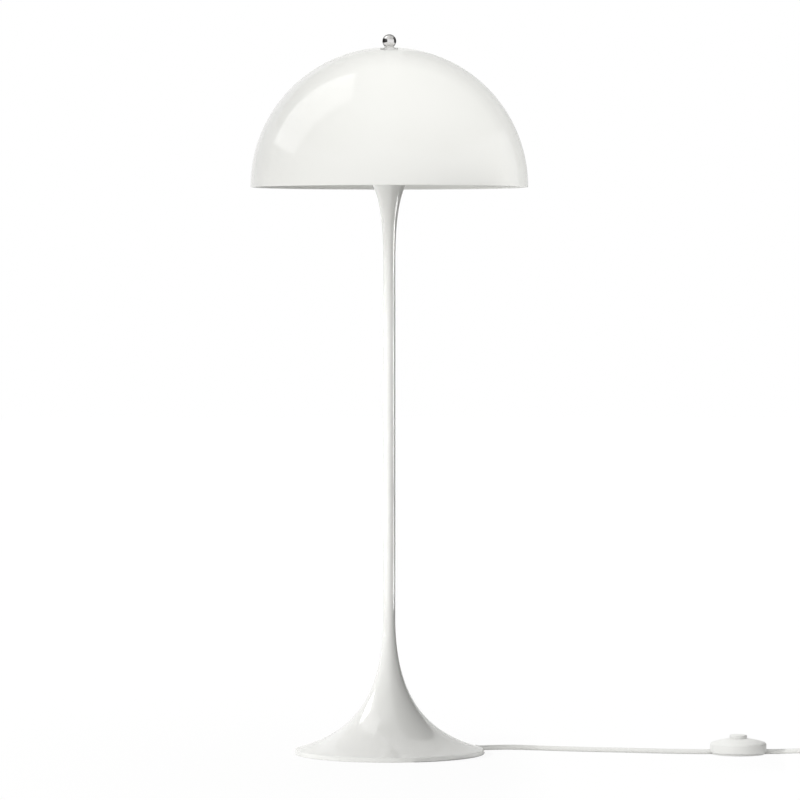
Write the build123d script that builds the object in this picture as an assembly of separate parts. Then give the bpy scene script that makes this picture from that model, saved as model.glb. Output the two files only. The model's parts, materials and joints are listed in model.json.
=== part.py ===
"""Mushroom floor lamp: trumpet foot, slim stem, hemispherical shade, and a cord with a foot switch.

Millimetres, +Z up. The origin is on the floor, on the axis of the stem. +X is the side where the cord
runs off to its foot switch, and -Y is the front.
"""
from build123d import *
import math
import os

# ---- clearances -------------------------------------------------------------------------------
FIT = 0.05          # radial clearance of a turned fit
SEAT = 0.3          # gap at a seat between curved faces
SCREW_FIT = 0.25    # radial clearance round a screw's shank
OVER = 1.0          # how far a cut runs past the face that it opens

# ---- foot -------------------------------------------------------------------------------------
FOOT_R = 172.0            # the rim, at its widest
FOOT_RIM_Z = 8.1          # where the outline starts above the rim's bead
FOOT_RIM_ANGLE = 14.9     # slope of the outline at the rim, degrees
FOOT_RIM_PULL = 101.4     # how far the outline keeps that slope
FOOT_TOP_Z = 246.7        # where the foot has narrowed to the stem
FOOT_NECK_PULL = 153.9    # how far the outline keeps upright below there
FOOT_WALL = 2.2
FOOT_LIP_Z = 0.6          # underside of the rim's bead
FOOT_LIP_W = 3.4          # width of the bead
FOOT_BEAD_R = 1.6         # rounding of the bead's outer corner
NOTCH_L = 22.0            # how far the cord's notch reaches in from the rim

# ---- stem -------------------------------------------------------------------------------------
STEM_R = 11.0
STEM_WALL = 2.0
TIE_R = 5.0               # the threaded tube that pulls the column together, M10 x 1
TIE_BORE_R = 3.5
SPIGOT_HALF = 20.0        # how far a spigot reaches into each tube

# ---- upper trumpet ----------------------------------------------------------------------------
TRUMPET_BOTTOM_Z = 882.0
TRUMPET_TOP_Z = 1064.9
TRUMPET_TOP_R = 60.0
TRUMPET_TOP_ANGLE = 36.85
TRUMPET_TOP_PULL = 51.3
TRUMPET_NECK_PULL = 94.4
TRUMPET_WALL = 1.5
TRUMPET_BEAD_R = 1.7

# ---- ballast and base -------------------------------------------------------------------------
PAD_H = 2.0
PAD_R = 9.0
PAD_PCR = 150.0
PAD_COUNT = 6
COVER_T = 2.5
BALLAST_T = 12.0
SOCKET_FLANGE_R = 28.0
SOCKET_FLANGE_T = 6.0
SOCKET_R = 13.0
SOCKET_H = 54.0           # flange included
SOCKET_CAVITY_R = 8.5
SOCKET_THREAD_L = 20.0
SOCKET_SCREW_PCR = 21.0
COVER_SCREW_PCR = 105.0
COVER_SCREW_L = 10.0
SOCKET_SCREW_L = 16.0
SOCKET_WINDOW_W = 10.0    # the flex's way out of the socket
M3_R = 1.5
M4_R = 2.0
M6_R = 3.0
TIE_NUT_AF = 17.0         # across the flats
TIE_NUT_T = 5.0

# ---- shade and its carrier --------------------------------------------------------------------
SHADE_R = 250.0
SHADE_WALL = 3.0
SHADE_RIM_Z = 1021.8
SHADE_SKIRT = 2.0         # straight part above the rim
SHADE_BOSS_R = 14.0
SHADE_BOSS_T = 5.0        # how far the boss reaches below the crown's inside
SHADE_HOLE_FIT = 0.3      # radial room round the stud
SHADE_SPOT_R = 10.0       # small flat on top, under the finial's washer
SEAT_WASHER_T = 2.0
HUB_Z = 1007.8
HUB_T = 6.0
ROD_R = 2.0
ROD_COUNT = 3
ROD_FOOT_R = 17.0         # where a rod stands in the hub
ROD_PCR = 50.0            # where a rod stands beside the bulb
ROD_KINK_LOW_Z = 1019.8
ROD_KINK_HIGH_Z = 1086.8
ROD_BEND_R = 12.0
CARRIER_TOP_R = 16.0
CARRIER_TOP_T = 6.0
STUD_R = M6_R
STUD_TAIL = 7.0           # the stud below its seat
STUD_NUT_AF = 10.0
STUD_NUT_T = 5.0
STUD_TOP_CLEAR = 1.5      # room left above the stud in the finial
FINIAL_R = 12.5
FINIAL_FLAT_R = 8.0
FINIAL_WASHER_R = 9.0
FINIAL_WASHER_T = 1.6

# ---- lampholder and bulb ----------------------------------------------------------------------
HUB_WASHER_R = 10.0
HUB_WASHER_T = 1.2
HUB_NUT_AF = 14.0
HUB_NUT_T = 4.0
HOLDER_R = 19.5
HOLDER_CAP_H = 18.0
HOLDER_CAP_WALL = 2.0
HOLDER_CAP_NECK_R = 9.0
HOLDER_CAP_FLOOR = 6.0
HOLDER_CAP_SKIRT = 3.0    # its upright part
HOLDER_BODY_H = 32.0
HOLDER_BORE_R = 14.4
HOLDER_MOUTH_R = 17.0
HOLDER_MOUTH_H = 8.0
INSERT_T = 4.0
SHELL_R = 13.9            # brass screw shell, outside
SHELL_T = 0.5
SHELL_H = 24.0
BULB_CAP_R = 13.1
BULB_CAP_H = 24.0
BULB_R = 30.0
BULB_LENGTH = 105.0
BULB_GLASS_T = 1.0
CONTACT_H = 3.0
CONTACT_R = 4.0
CONTACT_STEM_R = 1.5
HOLDER_BLOCK = (5.4, 8.0, 5.0)  # a terminal's width, depth and height
HOLDER_BLOCK_X = 3.4

# ---- cord -------------------------------------------------------------------------------------
CORD_R = 4.5
CORD_LIFT = 0.2           # underside of the cord above the floor
CORD_Z = CORD_R + CORD_LIFT
CORD_AZ = 20.0            # where it leaves the foot, degrees from +X towards the back
INNER_CORD_R = 2.75       # the thinner flex inside the stem
GROMMET_WALL = 1.0
GROMMET_L = 16.0
CORD_SLOT_GAP = 1.5       # room at each side of the cord in the ballast
CORD_STRAIGHT = 30.0      # the cord leaves the foot and enters the switch straight
TERMINAL_R0 = 37.0        # terminal block on the ballast, nearest and furthest from the axis
TERMINAL_R1 = 57.0
TERMINAL_W = 18.0
TERMINAL_H = 13.0
TERMINAL_SCREW_R = 2.2
TERMINAL_SCREW_Y = 4.5
TERMINAL_SCREW_L = 4.0
FOOT_CLAMP_BEHIND = 17.0  # the saddle over the cord, from the terminal block
FOOT_CLAMP_L = 8.0
FOOT_CLAMP_ROOF = 2.5
FOOT_CLAMP_Y = 11.0       # its screws, to each side of the cord
FOOT_CLAMP_SCREW_L = 8.0  # how deep they go into the ballast

# ---- foot switch ------------------------------------------------------------------------------
SWITCH_X = 629.5
SWITCH_Y = -10.0
SWITCH_R = 50.8
SWITCH_SIDE_Z0 = 4.3
SWITCH_SIDE_Z1 = 18.6
SWITCH_TOP_Z = 28.0       # beside the button
SWITCH_WALL = 2.4
SWITCH_BASE_R = 47.2
SWITCH_BASE_T = 4.4
SWITCH_PAD_H = 0.6
SWITCH_PAD_R = 6.0
SWITCH_PAD_PCR = 36.0
BUTTON_R = 15.8
BUTTON_TOP_Z = 35.2
BUTTON_GAP = 0.3
BUTTON_WALL = 2.2
BUTTON_TRAVEL = 3.5
BUTTON_FLANGE = 2.2       # how far its collar reaches under the cover
BUTTON_FLANGE_Z = 23.7
BUTTON_FLANGE_T = 1.8
PLUNGER_R = 1.5
MECH_L = 30.0
MECH_W = 18.0
MECH_H = 12.0
MECH_WALL = 2.0
MECH_LID = 1.2
ROCKER_X = -10.0          # its pivot, from the button's axis
ROCKER_PIN_R = 1.0
ROCKER_T = 1.2
ROCKER_W = 8.0
ROCKER_REACH = 16.0
ROCKER_SWING = 22.0       # degrees over the button's travel
SPRING_R = 5.0
SPRING_WIRE = 1.0
CORD_END_IN = 32.0        # where the cords stop inside, from the button's axis
SWITCH_BOSS_R = 4.0
SWITCH_BOSS_PCR = 39.6
SWITCH_SCREW_L = 12.0
SWITCH_SHOULDER = (5.5, 3.6)  # the shoulder's reach inwards and upwards
SWITCH_CROWN = 1.4        # how far the dome would rise over the button's hole
SWITCH_DOME_R = 130.0
SWITCH_BLOCK_H = 9.0      # the terminal blocks
SWITCH_BLOCK_L = 9.0
SWITCH_BLOCK_W = 14.0
CLAMP_FROM_END = 5.0      # a cord's saddle, from the cord's end
CLAMP_L = 6.0
CLAMP_W = 21.0
CLAMP_SCREW_Y = 7.6
CLAMP_ROOF = 2.5          # what is left over the cord

# ---- coil and plug ----------------------------------------------------------------------------
COIL_X = 820.0
COIL_Y = 71.0
COIL_R = 65.0             # outermost half turn
COIL_PITCH = 9.6
COIL_LAYER = 9.6
COIL_TURNS_IN = 3
TIE_STRAP_T = 0.8
TIE_STRAP_W = 12.0
PLUG_W = 35.3
PLUG_T = 13.7
PLUG_L = 36.0
PLUG_BACK = 0.52          # width of the body's back as a share of its front
PLUG_TAPER = 0.55         # length of the tapered part as a share of the body
PLUG_PIN_R = 2.0
PLUG_PIN_L = 19.0
PLUG_PIN_SPACING = 18.6
PLUG_BOOT_L = 24.0

# ---- heights that follow ----------------------------------------------------------------------
COVER_Z = PAD_H
BALLAST_Z = COVER_Z + COVER_T
SOCKET_Z = BALLAST_Z + BALLAST_T
SOCKET_TOP_Z = SOCKET_Z + SOCKET_H
TIE_BOTTOM_Z = SOCKET_TOP_Z - SOCKET_THREAD_L
HUB_TOP_Z = HUB_Z + HUB_T
NUT_Z = HUB_TOP_Z + HUB_WASHER_T
HOLDER_Z = NUT_Z + HUB_NUT_T + 0.8
TIE_TOP_Z = HOLDER_Z + 8.0
BODY_Z = HOLDER_Z + HOLDER_CAP_H
INSERT_Z = BODY_Z - 2.0
SHELL_Z = INSERT_Z + INSERT_T
BULB_Z = SHELL_Z + CONTACT_H + SEAT
BULB_CENTRE_Z = BULB_Z + BULB_LENGTH - BULB_R
SHADE_CENTRE_Z = SHADE_RIM_Z + SHADE_SKIRT
SHADE_TOP_Z = SHADE_CENTRE_Z + SHADE_R
SHADE_SPOT_Z = SHADE_CENTRE_Z + math.sqrt(SHADE_R**2 - SHADE_SPOT_R**2)
SHADE_BOSS_Z = SHADE_TOP_Z - SHADE_WALL - SHADE_BOSS_T
CARRIER_TOP_Z = SHADE_BOSS_Z - SEAT_WASHER_T
FINIAL_Z = SHADE_SPOT_Z + FINIAL_WASHER_T
FINIAL_CENTRE_Z = FINIAL_Z + math.sqrt(FINIAL_R**2 - FINIAL_FLAT_R**2)
STUD_TOP_Z = FINIAL_CENTRE_Z + 6.0
COIL_Z = CORD_LIFT + TIE_STRAP_T + SEAT + CORD_R
SWITCH_BASE_TOP_Z = SWITCH_PAD_H + SWITCH_BASE_T
FOOT_CLAMP_R = TERMINAL_R1 + FOOT_CLAMP_BEHIND
CLAMP_TOP_Z = 2 * CORD_Z + CLAMP_ROOF
ROD_FOOT_Z = HUB_TOP_Z - 4.0
ROD_END_R = CARRIER_TOP_R - 5.0


# ---- helpers ----------------------------------------------------------------------------------
def turned(*outline):
    """A solid turned about the stem's axis from an outline of (radius, height) points."""
    return revolve(Plane.XZ * make_face(Polyline(*outline, close=True)), Axis.Z)


def ring(outer, inner, z0, z1):
    """A flat ring, or a disc where inner is 0."""
    face = Circle(outer) - Circle(inner) if inner > 0 else Circle(outer)
    return Pos(0, 0, z0) * extrude(face, z1 - z0)


def hex_nut(across, bore, z0, z1):
    """A hexagon nut."""
    face = RegularPolygon(across / 2, 6, major_radius=False) - Circle(bore)
    return Pos(0, 0, z0) * extrude(face, z1 - z0)


def block(x0, x1, y0, y1, z0, z1):
    """A box between two corners."""
    return Pos((x0 + x1) / 2, (y0 + y1) / 2, (z0 + z1) / 2) * Box(x1 - x0, y1 - y0, z1 - z0)


def around(shape, count, start=0.0):
    """Copies of a shape, evenly spaced round the stem's axis."""
    return [Rot(0, 0, start + 360 * k / count) * shape for k in range(count)]


def group(shapes):
    """Separate solids in one node."""
    return Part() + list(shapes)


def csk_screw(shank_r, head_z, length):
    """A countersunk screw that enters upwards, its head's face at head_z."""
    head = turned((0, head_z), (2 * shank_r, head_z), (shank_r, head_z + shank_r), (0, head_z + shank_r))
    return head + ring(shank_r, 0, head_z + shank_r, head_z + length)


def csk_hole(shank_r, head_z, length):
    """The room that a countersunk screw takes, with its clearance."""
    top = head_z + shank_r
    wide = 2 * shank_r + SCREW_FIT
    low = head_z - OVER
    head = turned((0, low), (wide, low), (wide, head_z), (shank_r + SCREW_FIT, top), (0, top))
    return head + ring(shank_r + SCREW_FIT, 0, top - 0.1, head_z + length)


def bezier_point(points, t):
    """A point on a cubic curve."""
    s = 1 - t
    weights = (s**3, 3 * s**2 * t, 3 * s * t**2, t**3)
    return tuple(sum(w * p[k] for w, p in zip(weights, points)) for k in (0, 1))


def radius_at(points, z):
    """The radius of a trumpet outline at a height."""
    low, high = 0.0, 1.0
    rising = points[3][1] > points[0][1]
    for _ in range(50):
        mid = (low + high) / 2
        if (bezier_point(points, mid)[1] < z) == rising:
            low = mid
        else:
            high = mid
    return bezier_point(points, low)[0]


def corner_radii(points):
    """0.45 of the shorter run over the tangent of half the turn, at each corner of a route."""
    spots = [Vector(*p) for p in points]
    radii = []
    for before, here, after in zip(spots, spots[1:], spots[2:]):
        first, second = here - before, after - here
        turn = math.radians(first.get_angle(second))
        radii.append(0.45 * min(first.length, second.length) / math.tan(turn / 2))
    return radii


def tube_along(path, radius):
    """A round tube along a path that starts at the path's first point."""
    return sweep(Plane(origin=path @ 0, z_dir=path % 0) * Circle(radius), path=path)


def cord_tube(name, points, radius=CORD_R):
    """A cord along a route of points, and a line of text on its bends and volume."""
    radii = corner_radii(points)
    path = FilletPolyline(*points, radius=radii)
    tube = tube_along(path, radius)
    share = tube.volume / (math.pi * radius**2 * path.length)
    print(f"{name}: length {path.length:.0f}, volume share {share:.4f}, radii", [round(r) for r in radii])
    return tube


# ---- outlines of the two trumpets -------------------------------------------------------------
def foot_curve(inset=0.0, shift=0.0):
    """The foot's outline as a cubic curve, moved inwards by inset and along the rim by shift."""
    a = math.radians(FOOT_RIM_ANGLE)
    r0 = FOOT_R - inset * math.sin(a) - shift * math.cos(a)
    z0 = FOOT_RIM_Z - inset * math.cos(a) + shift * math.sin(a)
    pull = FOOT_RIM_PULL - shift
    neck = STEM_R - inset
    return [
        (r0, z0),
        (r0 - pull * math.cos(a), z0 + pull * math.sin(a)),
        (neck, FOOT_TOP_Z - FOOT_NECK_PULL),
        (neck, FOOT_TOP_Z),
    ]


def trumpet_curve(inset=0.0):
    """The upper trumpet's outline from its mouth down to the stem."""
    a = math.radians(TRUMPET_TOP_ANGLE)
    r0 = TRUMPET_TOP_R - inset * math.sin(a)
    z0 = TRUMPET_TOP_Z + inset * math.cos(a)
    pull = TRUMPET_TOP_PULL
    neck = STEM_R - inset
    return [
        (r0, z0),
        (r0 - pull * math.cos(a), z0 - pull * math.sin(a)),
        (neck, TRUMPET_BOTTOM_Z + TRUMPET_NECK_PULL),
        (neck, TRUMPET_BOTTOM_Z),
    ]


def revolved_wall(edges):
    """A solid of revolution from a closed chain of curves in (radius, height)."""
    return revolve(Plane.XZ * make_face(edges), Axis.Z)


FOOT_INNER = foot_curve(FOOT_WALL, FOOT_LIP_W)
TRUMPET_INNER = trumpet_curve(TRUMPET_WALL)
FOOT_NECK_BORE_R = STEM_R - FOOT_WALL
STEM_BORE_R = STEM_R - STEM_WALL
TRUMPET_BORE_R = STEM_R - TRUMPET_WALL
COVER_R = FOOT_INNER[0][0] - 0.5
BALLAST_R = radius_at(FOOT_INNER, BALLAST_Z + BALLAST_T) - SEAT - 0.1
HUB_R = radius_at(TRUMPET_INNER, HUB_Z) - SEAT


# ---- the cord's routes ------------------------------------------------------------------------
def radial(r, z, azimuth=CORD_AZ):
    """A point at a radius on the side where the cord leaves the foot."""
    a = math.radians(azimuth)
    return (r * math.cos(a), r * math.sin(a), z)


CORD_EXIT_R = FOOT_R - 2.0
TERMINAL_MID_Z = SOCKET_Z + TERMINAL_H / 2
FOOT_CLAMP_TOP_Z = TERMINAL_MID_Z + CORD_R + FOOT_CLAMP_ROOF
FOOT_ROUTE = [
    radial(CORD_EXIT_R, CORD_Z),
    radial(CORD_EXIT_R - 44.0, CORD_Z),
    radial(FOOT_CLAMP_R + 18.0, TERMINAL_MID_Z),
    radial(TERMINAL_R1, TERMINAL_MID_Z),
]
SWITCH_ROUTE = [
    radial(CORD_EXIT_R, CORD_Z),
    radial(CORD_EXIT_R + CORD_STRAIGHT, CORD_Z),
    (224.0, 74.0, CORD_Z),
    (272.0, 58.0, CORD_Z),
    (340.0, 36.0, CORD_Z),
    (418.0, 20.0, CORD_Z),
    (500.0, -1.5, CORD_Z),
    (SWITCH_X - CORD_END_IN - 45.0, SWITCH_Y, CORD_Z),
    (SWITCH_X - CORD_END_IN, SWITCH_Y, CORD_Z),
]
COIL_ROUTE = [
    (SWITCH_X + CORD_END_IN, SWITCH_Y, CORD_Z),
    (SWITCH_X + CORD_END_IN + 37.0, SWITCH_Y, CORD_Z),
    (735.0, 1.5, CORD_Z + 0.3),
    (778.0, COIL_Y - COIL_R, COIL_Z),
    (COIL_X - 2 * CORD_R, COIL_Y - COIL_R, COIL_Z),
]


# ---- foot pieces ------------------------------------------------------------------------------
def cord_channel(width, z0, z1, r0, r1):
    """A radial slot where the cord runs."""
    return Rot(0, 0, CORD_AZ) * block(r0, r1, -width / 2, width / 2, z0, z1)


def foot_shell():
    """The white trumpet, open below, with a bead round its rim and a notch for the cord."""
    outer, inner = foot_curve(), FOOT_INNER
    low = (FOOT_R - FOOT_BEAD_R, FOOT_LIP_Z)
    bead = ThreePointArc((FOOT_R, FOOT_RIM_Z), (FOOT_R - 0.1, FOOT_LIP_Z + FOOT_BEAD_R), low)
    edges = [
        Bezier(*outer),
        bead,
        Line(low, (inner[0][0], FOOT_LIP_Z)),
        Line((inner[0][0], FOOT_LIP_Z), inner[0]),
        Bezier(*inner),
        Line(inner[3], outer[3]),
    ]
    notch_r = CORD_R + GROMMET_WALL + SEAT
    start = FOOT_R - NOTCH_L
    notch = cord_channel(2 * notch_r, -OVER, CORD_Z, start, FOOT_R + OVER)
    arch = Rot(0, 0, CORD_AZ) * Pos(start, 0, CORD_Z) * Rot(0, 90, 0) * Cylinder(
        notch_r, NOTCH_L + OVER, align=(Align.CENTER, Align.CENTER, Align.MIN)
    )
    return revolved_wall(edges) - notch - arch


def ballast_plate():
    """The iron disc that keeps the lamp upright, slotted for the cord."""
    plate = ring(BALLAST_R, 0, BALLAST_Z, SOCKET_Z)
    slot_w = 2 * (CORD_R + CORD_SLOT_GAP)
    plate -= cord_channel(slot_w, BALLAST_Z - OVER, SOCKET_Z + OVER, TERMINAL_R1 - 4, FOOT_R)
    screw = Pos(SOCKET_SCREW_PCR, 0, 0) * csk_hole(M6_R, BALLAST_Z, BALLAST_T + OVER)
    plate -= around(screw, 3, 90)
    depth = COVER_SCREW_L - COVER_T + 1.5
    pilot = Pos(COVER_SCREW_PCR, 0, 0) * ring(M4_R, 0, BALLAST_Z - OVER, BALLAST_Z + depth)
    plate -= around(pilot, 3, 90)
    clamp = Pos(FOOT_CLAMP_R, 0, 0) * ring(M3_R, 0, SOCKET_Z - FOOT_CLAMP_SCREW_L, SOCKET_Z + OVER)
    for side in (-1, 1):
        plate -= Rot(0, 0, CORD_AZ) * Pos(0, side * FOOT_CLAMP_Y, 0) * clamp
    return plate


def base_cover():
    """The thin steel disc under the foot."""
    cover = ring(COVER_R, 0, COVER_Z, BALLAST_Z)
    slot_w = 2 * (CORD_R + CORD_SLOT_GAP)
    cover -= cord_channel(slot_w, 0, BALLAST_Z + OVER, TERMINAL_R1 + 15, FOOT_R)
    screw = Pos(COVER_SCREW_PCR, 0, 0) * csk_hole(M4_R, COVER_Z, COVER_T + OVER)
    return cover - around(screw, 3, 90)


def foot_pads():
    """Felt pads, stuck under the cover."""
    pad = Pos(PAD_PCR, 0, 0) * ring(PAD_R, 0, 0, PAD_H)
    return group(around(pad, PAD_COUNT))


def cover_screws():
    return group(around(Pos(COVER_SCREW_PCR, 0, 0) * csk_screw(M4_R, COVER_Z, COVER_SCREW_L), 3, 90))


def socket_screws():
    return group(around(Pos(SOCKET_SCREW_PCR, 0, 0) * csk_screw(M6_R, BALLAST_Z, SOCKET_SCREW_L), 3, 90))


def stem_socket():
    """A flanged boss on the ballast that holds the threaded tube, open to the side for the flex."""
    boss = ring(SOCKET_FLANGE_R, 0, SOCKET_Z, SOCKET_Z + SOCKET_FLANGE_T)
    boss += ring(SOCKET_R, 0, SOCKET_Z, SOCKET_TOP_Z)
    boss -= ring(SOCKET_CAVITY_R, 0, SOCKET_Z - OVER, TIE_BOTTOM_Z)
    boss -= ring(TIE_R + FIT, 0, TIE_BOTTOM_Z - OVER, SOCKET_TOP_Z + OVER)
    window = cord_channel(SOCKET_WINDOW_W, SOCKET_Z - OVER, TIE_BOTTOM_Z - 6, 0, SOCKET_FLANGE_R + OVER)
    thread = ring(M6_R + FIT, 0, SOCKET_Z - OVER, SOCKET_Z + SOCKET_FLANGE_T + OVER)
    tapped = Pos(SOCKET_SCREW_PCR, 0, 0) * thread
    return boss - window - around(tapped, 3, 90)


def foot_terminal():
    """The block on the ballast where the cord meets the flex."""
    box = block(TERMINAL_R0, TERMINAL_R1, -TERMINAL_W / 2, TERMINAL_W / 2, SOCKET_Z, SOCKET_Z + TERMINAL_H)
    box = fillet(box.edges().filter_by(Axis.Z), 1.5)
    mid = (TERMINAL_R0 + TERMINAL_R1) / 2
    top = SOCKET_Z + TERMINAL_H
    for side in (-1, 1):
        hole = ring(TERMINAL_SCREW_R, 0, top - TERMINAL_SCREW_L, top + OVER)
        box -= Pos(mid, side * TERMINAL_SCREW_Y, 0) * hole
    return Rot(0, 0, CORD_AZ) * box


def terminal_screws():
    """The two brass screws of that block."""
    mid = (TERMINAL_R0 + TERMINAL_R1) / 2
    top = SOCKET_Z + TERMINAL_H - 0.8
    slot = block(-3, 3, -0.3, 0.3, top - 0.8, top + OVER)
    screw = ring(TERMINAL_SCREW_R - FIT, 0, SOCKET_Z + TERMINAL_H - TERMINAL_SCREW_L, top) - slot
    return group(Rot(0, 0, CORD_AZ) * Pos(mid, side * TERMINAL_SCREW_Y, 0) * screw for side in (-1, 1))


def foot_clamp():
    """The saddle that grips the cord on the ballast."""
    x0 = FOOT_CLAMP_R - FOOT_CLAMP_L / 2
    x1 = FOOT_CLAMP_R + FOOT_CLAMP_L / 2
    grip = CORD_R + FIT
    saddle = block(x0, x1, -FOOT_CLAMP_Y - 4, FOOT_CLAMP_Y + 4, SOCKET_Z, FOOT_CLAMP_TOP_Z)
    saddle = fillet(saddle.edges().filter_by(Axis.X).group_by(Axis.Z)[-1], 3)
    saddle -= block(x0 - OVER, x1 + OVER, -grip, grip, SOCKET_Z - OVER, TERMINAL_MID_Z)
    saddle -= Pos(FOOT_CLAMP_R, 0, TERMINAL_MID_Z) * Rot(0, 90, 0) * Cylinder(grip, 2 * FOOT_CLAMP_L)
    for side in (-1, 1):
        hole = ring(M3_R + FIT, 0, SOCKET_Z - OVER, FOOT_CLAMP_TOP_Z + OVER)
        saddle -= Pos(FOOT_CLAMP_R, side * FOOT_CLAMP_Y, 0) * hole
    return Rot(0, 0, CORD_AZ) * saddle


def foot_clamp_screws():
    top = FOOT_CLAMP_TOP_Z
    screw = ring(M3_R, 0, SOCKET_Z - FOOT_CLAMP_SCREW_L, top) + ring(1.8 * M3_R, 0, top, top + 2)
    return group(Rot(0, 0, CORD_AZ) * Pos(FOOT_CLAMP_R, side * FOOT_CLAMP_Y, 0) * screw for side in (-1, 1))


def cord_grommet():
    """The soft liner of the notch in the rim."""
    start = CORD_EXIT_R - GROMMET_L
    sleeve = Pos(start, 0, CORD_Z) * Rot(0, 90, 0) * ring(CORD_R + GROMMET_WALL, CORD_R + FIT, 0, GROMMET_L)
    under = block(start - OVER, CORD_EXIT_R + OVER, -CORD_Z, CORD_Z, -CORD_Z, CORD_LIFT)
    return Rot(0, 0, CORD_AZ) * (sleeve - under)


# ---- column pieces ----------------------------------------------------------------------------
def tie_tube():
    return ring(TIE_R, TIE_BORE_R, TIE_BOTTOM_Z, TIE_TOP_Z)


def socket_locknut():
    return hex_nut(TIE_NUT_AF, TIE_R + FIT, SOCKET_TOP_Z, SOCKET_TOP_Z + TIE_NUT_T)


def spigot(z, bore_below, bore_above):
    """A turned sleeve that lines up two tubes at a joint."""
    below = ring(bore_below - FIT, TIE_R + FIT, z - SPIGOT_HALF, z)
    return below + ring(bore_above - FIT, TIE_R + FIT, z, z + SPIGOT_HALF)


def stem_tube():
    return ring(STEM_R, STEM_BORE_R, FOOT_TOP_Z, TRUMPET_BOTTOM_Z)


def top_trumpet():
    """The upper trumpet, with a bead round its mouth."""
    outer, inner = trumpet_curve(), TRUMPET_INNER
    edges = [Bezier(*outer), Line(outer[0], inner[0]), Bezier(*inner), Line(inner[3], outer[3])]
    mid_r = (outer[0][0] + inner[0][0]) / 2
    mid_z = (outer[0][1] + inner[0][1]) / 2
    bead = revolve(Plane.XZ * Pos(mid_r, mid_z) * Circle(TRUMPET_BEAD_R), Axis.Z)
    return revolved_wall(edges) + bead


# ---- carrier pieces ---------------------------------------------------------------------------
def rod_path():
    rod_z = CARRIER_TOP_Z - CARRIER_TOP_T / 2
    return FilletPolyline(
        (ROD_FOOT_R, 0, ROD_FOOT_Z),
        (ROD_FOOT_R, 0, ROD_KINK_LOW_Z),
        (ROD_PCR, 0, ROD_KINK_HIGH_Z),
        (ROD_PCR, 0, rod_z),
        (ROD_END_R, 0, rod_z),
        radius=[2 * ROD_R, ROD_BEND_R, ROD_BEND_R],
    )


def carrier_rods():
    """Three bent wires that stand in the hub and hold the shade's seat."""
    return group(around(tube_along(rod_path(), ROD_R), ROD_COUNT, 30))


def carrier_hub():
    """The disc that pulls the trumpet down onto the stem and holds the wires."""
    hub = ring(HUB_R, TIE_R + FIT, HUB_Z, HUB_TOP_Z)
    hole = Pos(ROD_FOOT_R, 0, 0) * ring(ROD_R + FIT, 0, ROD_FOOT_Z, HUB_TOP_Z + OVER)
    return hub - around(hole, ROD_COUNT, 30)


def carrier_top():
    """The seat under the shade's crown."""
    seat = ring(CARRIER_TOP_R, STUD_R + FIT, CARRIER_TOP_Z - CARRIER_TOP_T, CARRIER_TOP_Z)
    bore = Rot(0, 90, 0) * ring(ROD_R + FIT, 0, 0, CARRIER_TOP_R)
    hole = Pos(ROD_END_R, 0, CARRIER_TOP_Z - CARRIER_TOP_T / 2) * bore
    return seat - around(hole, ROD_COUNT, 30)


def shade_stud():
    return ring(STUD_R, 0, CARRIER_TOP_Z - CARRIER_TOP_T - STUD_TAIL, STUD_TOP_Z)


def stud_locknut():
    under = CARRIER_TOP_Z - CARRIER_TOP_T
    return hex_nut(STUD_NUT_AF, STUD_R + FIT, under - STUD_NUT_T, under)


def seat_washer():
    return ring(SHADE_BOSS_R - 1, STUD_R + 0.5, CARRIER_TOP_Z, SHADE_BOSS_Z)


# ---- lampholder and bulb ----------------------------------------------------------------------
def holder_cap():
    """The lampholder's lower cap, screwed on the threaded tube."""
    top = HOLDER_Z + HOLDER_CAP_H
    side = top - HOLDER_CAP_SKIRT
    neck = HOLDER_CAP_NECK_R
    shape = turned((0, HOLDER_Z), (neck, HOLDER_Z), (HOLDER_R, side), (HOLDER_R, top), (0, top))
    bore = HOLDER_R - HOLDER_CAP_WALL
    floor = HOLDER_Z + HOLDER_CAP_FLOOR
    shape -= turned((0, floor), (neck, floor), (bore, side), (bore, top + OVER), (0, top + OVER))
    return shape - ring(TIE_R + FIT, 0, HOLDER_Z - OVER, floor + OVER)


def holder_body():
    """The lampholder's outer sleeve."""
    top = BODY_Z + HOLDER_BODY_H
    sleeve = ring(HOLDER_R, HOLDER_BORE_R, BODY_Z, top)
    return sleeve - ring(HOLDER_MOUTH_R, 0, top - HOLDER_MOUTH_H, top + OVER)


def holder_insert():
    """The ceramic floor of the lampholder."""
    floor = ring(HOLDER_BORE_R - SEAT, 0, INSERT_Z, SHELL_Z)
    return floor - ring(CONTACT_STEM_R, 0, INSERT_Z - OVER, SHELL_Z + OVER)


def screw_shell():
    return ring(SHELL_R, SHELL_R - SHELL_T, SHELL_Z, SHELL_Z + SHELL_H)


def centre_contact():
    """The sprung tongue under the bulb's tip."""
    stem = ring(CONTACT_STEM_R - FIT, 0, INSERT_Z, SHELL_Z)
    return stem + ring(CONTACT_R, 0, SHELL_Z, SHELL_Z + CONTACT_H)


def holder_terminals():
    """Two brass blocks under the insert that take the flex."""
    width, depth, height = HOLDER_BLOCK
    one = block(-width / 2, width / 2, -depth / 2, depth / 2, INSERT_Z - height, INSERT_Z)
    return group(Pos(side * HOLDER_BLOCK_X, 0, 0) * one for side in (-1, 1))


def bulb_cap():
    """The bulb's metal cap with its tip."""
    top = BULB_Z + BULB_CAP_H
    return turned(
        (0, BULB_Z), (4, BULB_Z), (4.5, BULB_Z + 1.5), (8.5, BULB_Z + 2.5),
        (BULB_CAP_R, BULB_Z + 6), (BULB_CAP_R, top), (0, top),
    )


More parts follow.
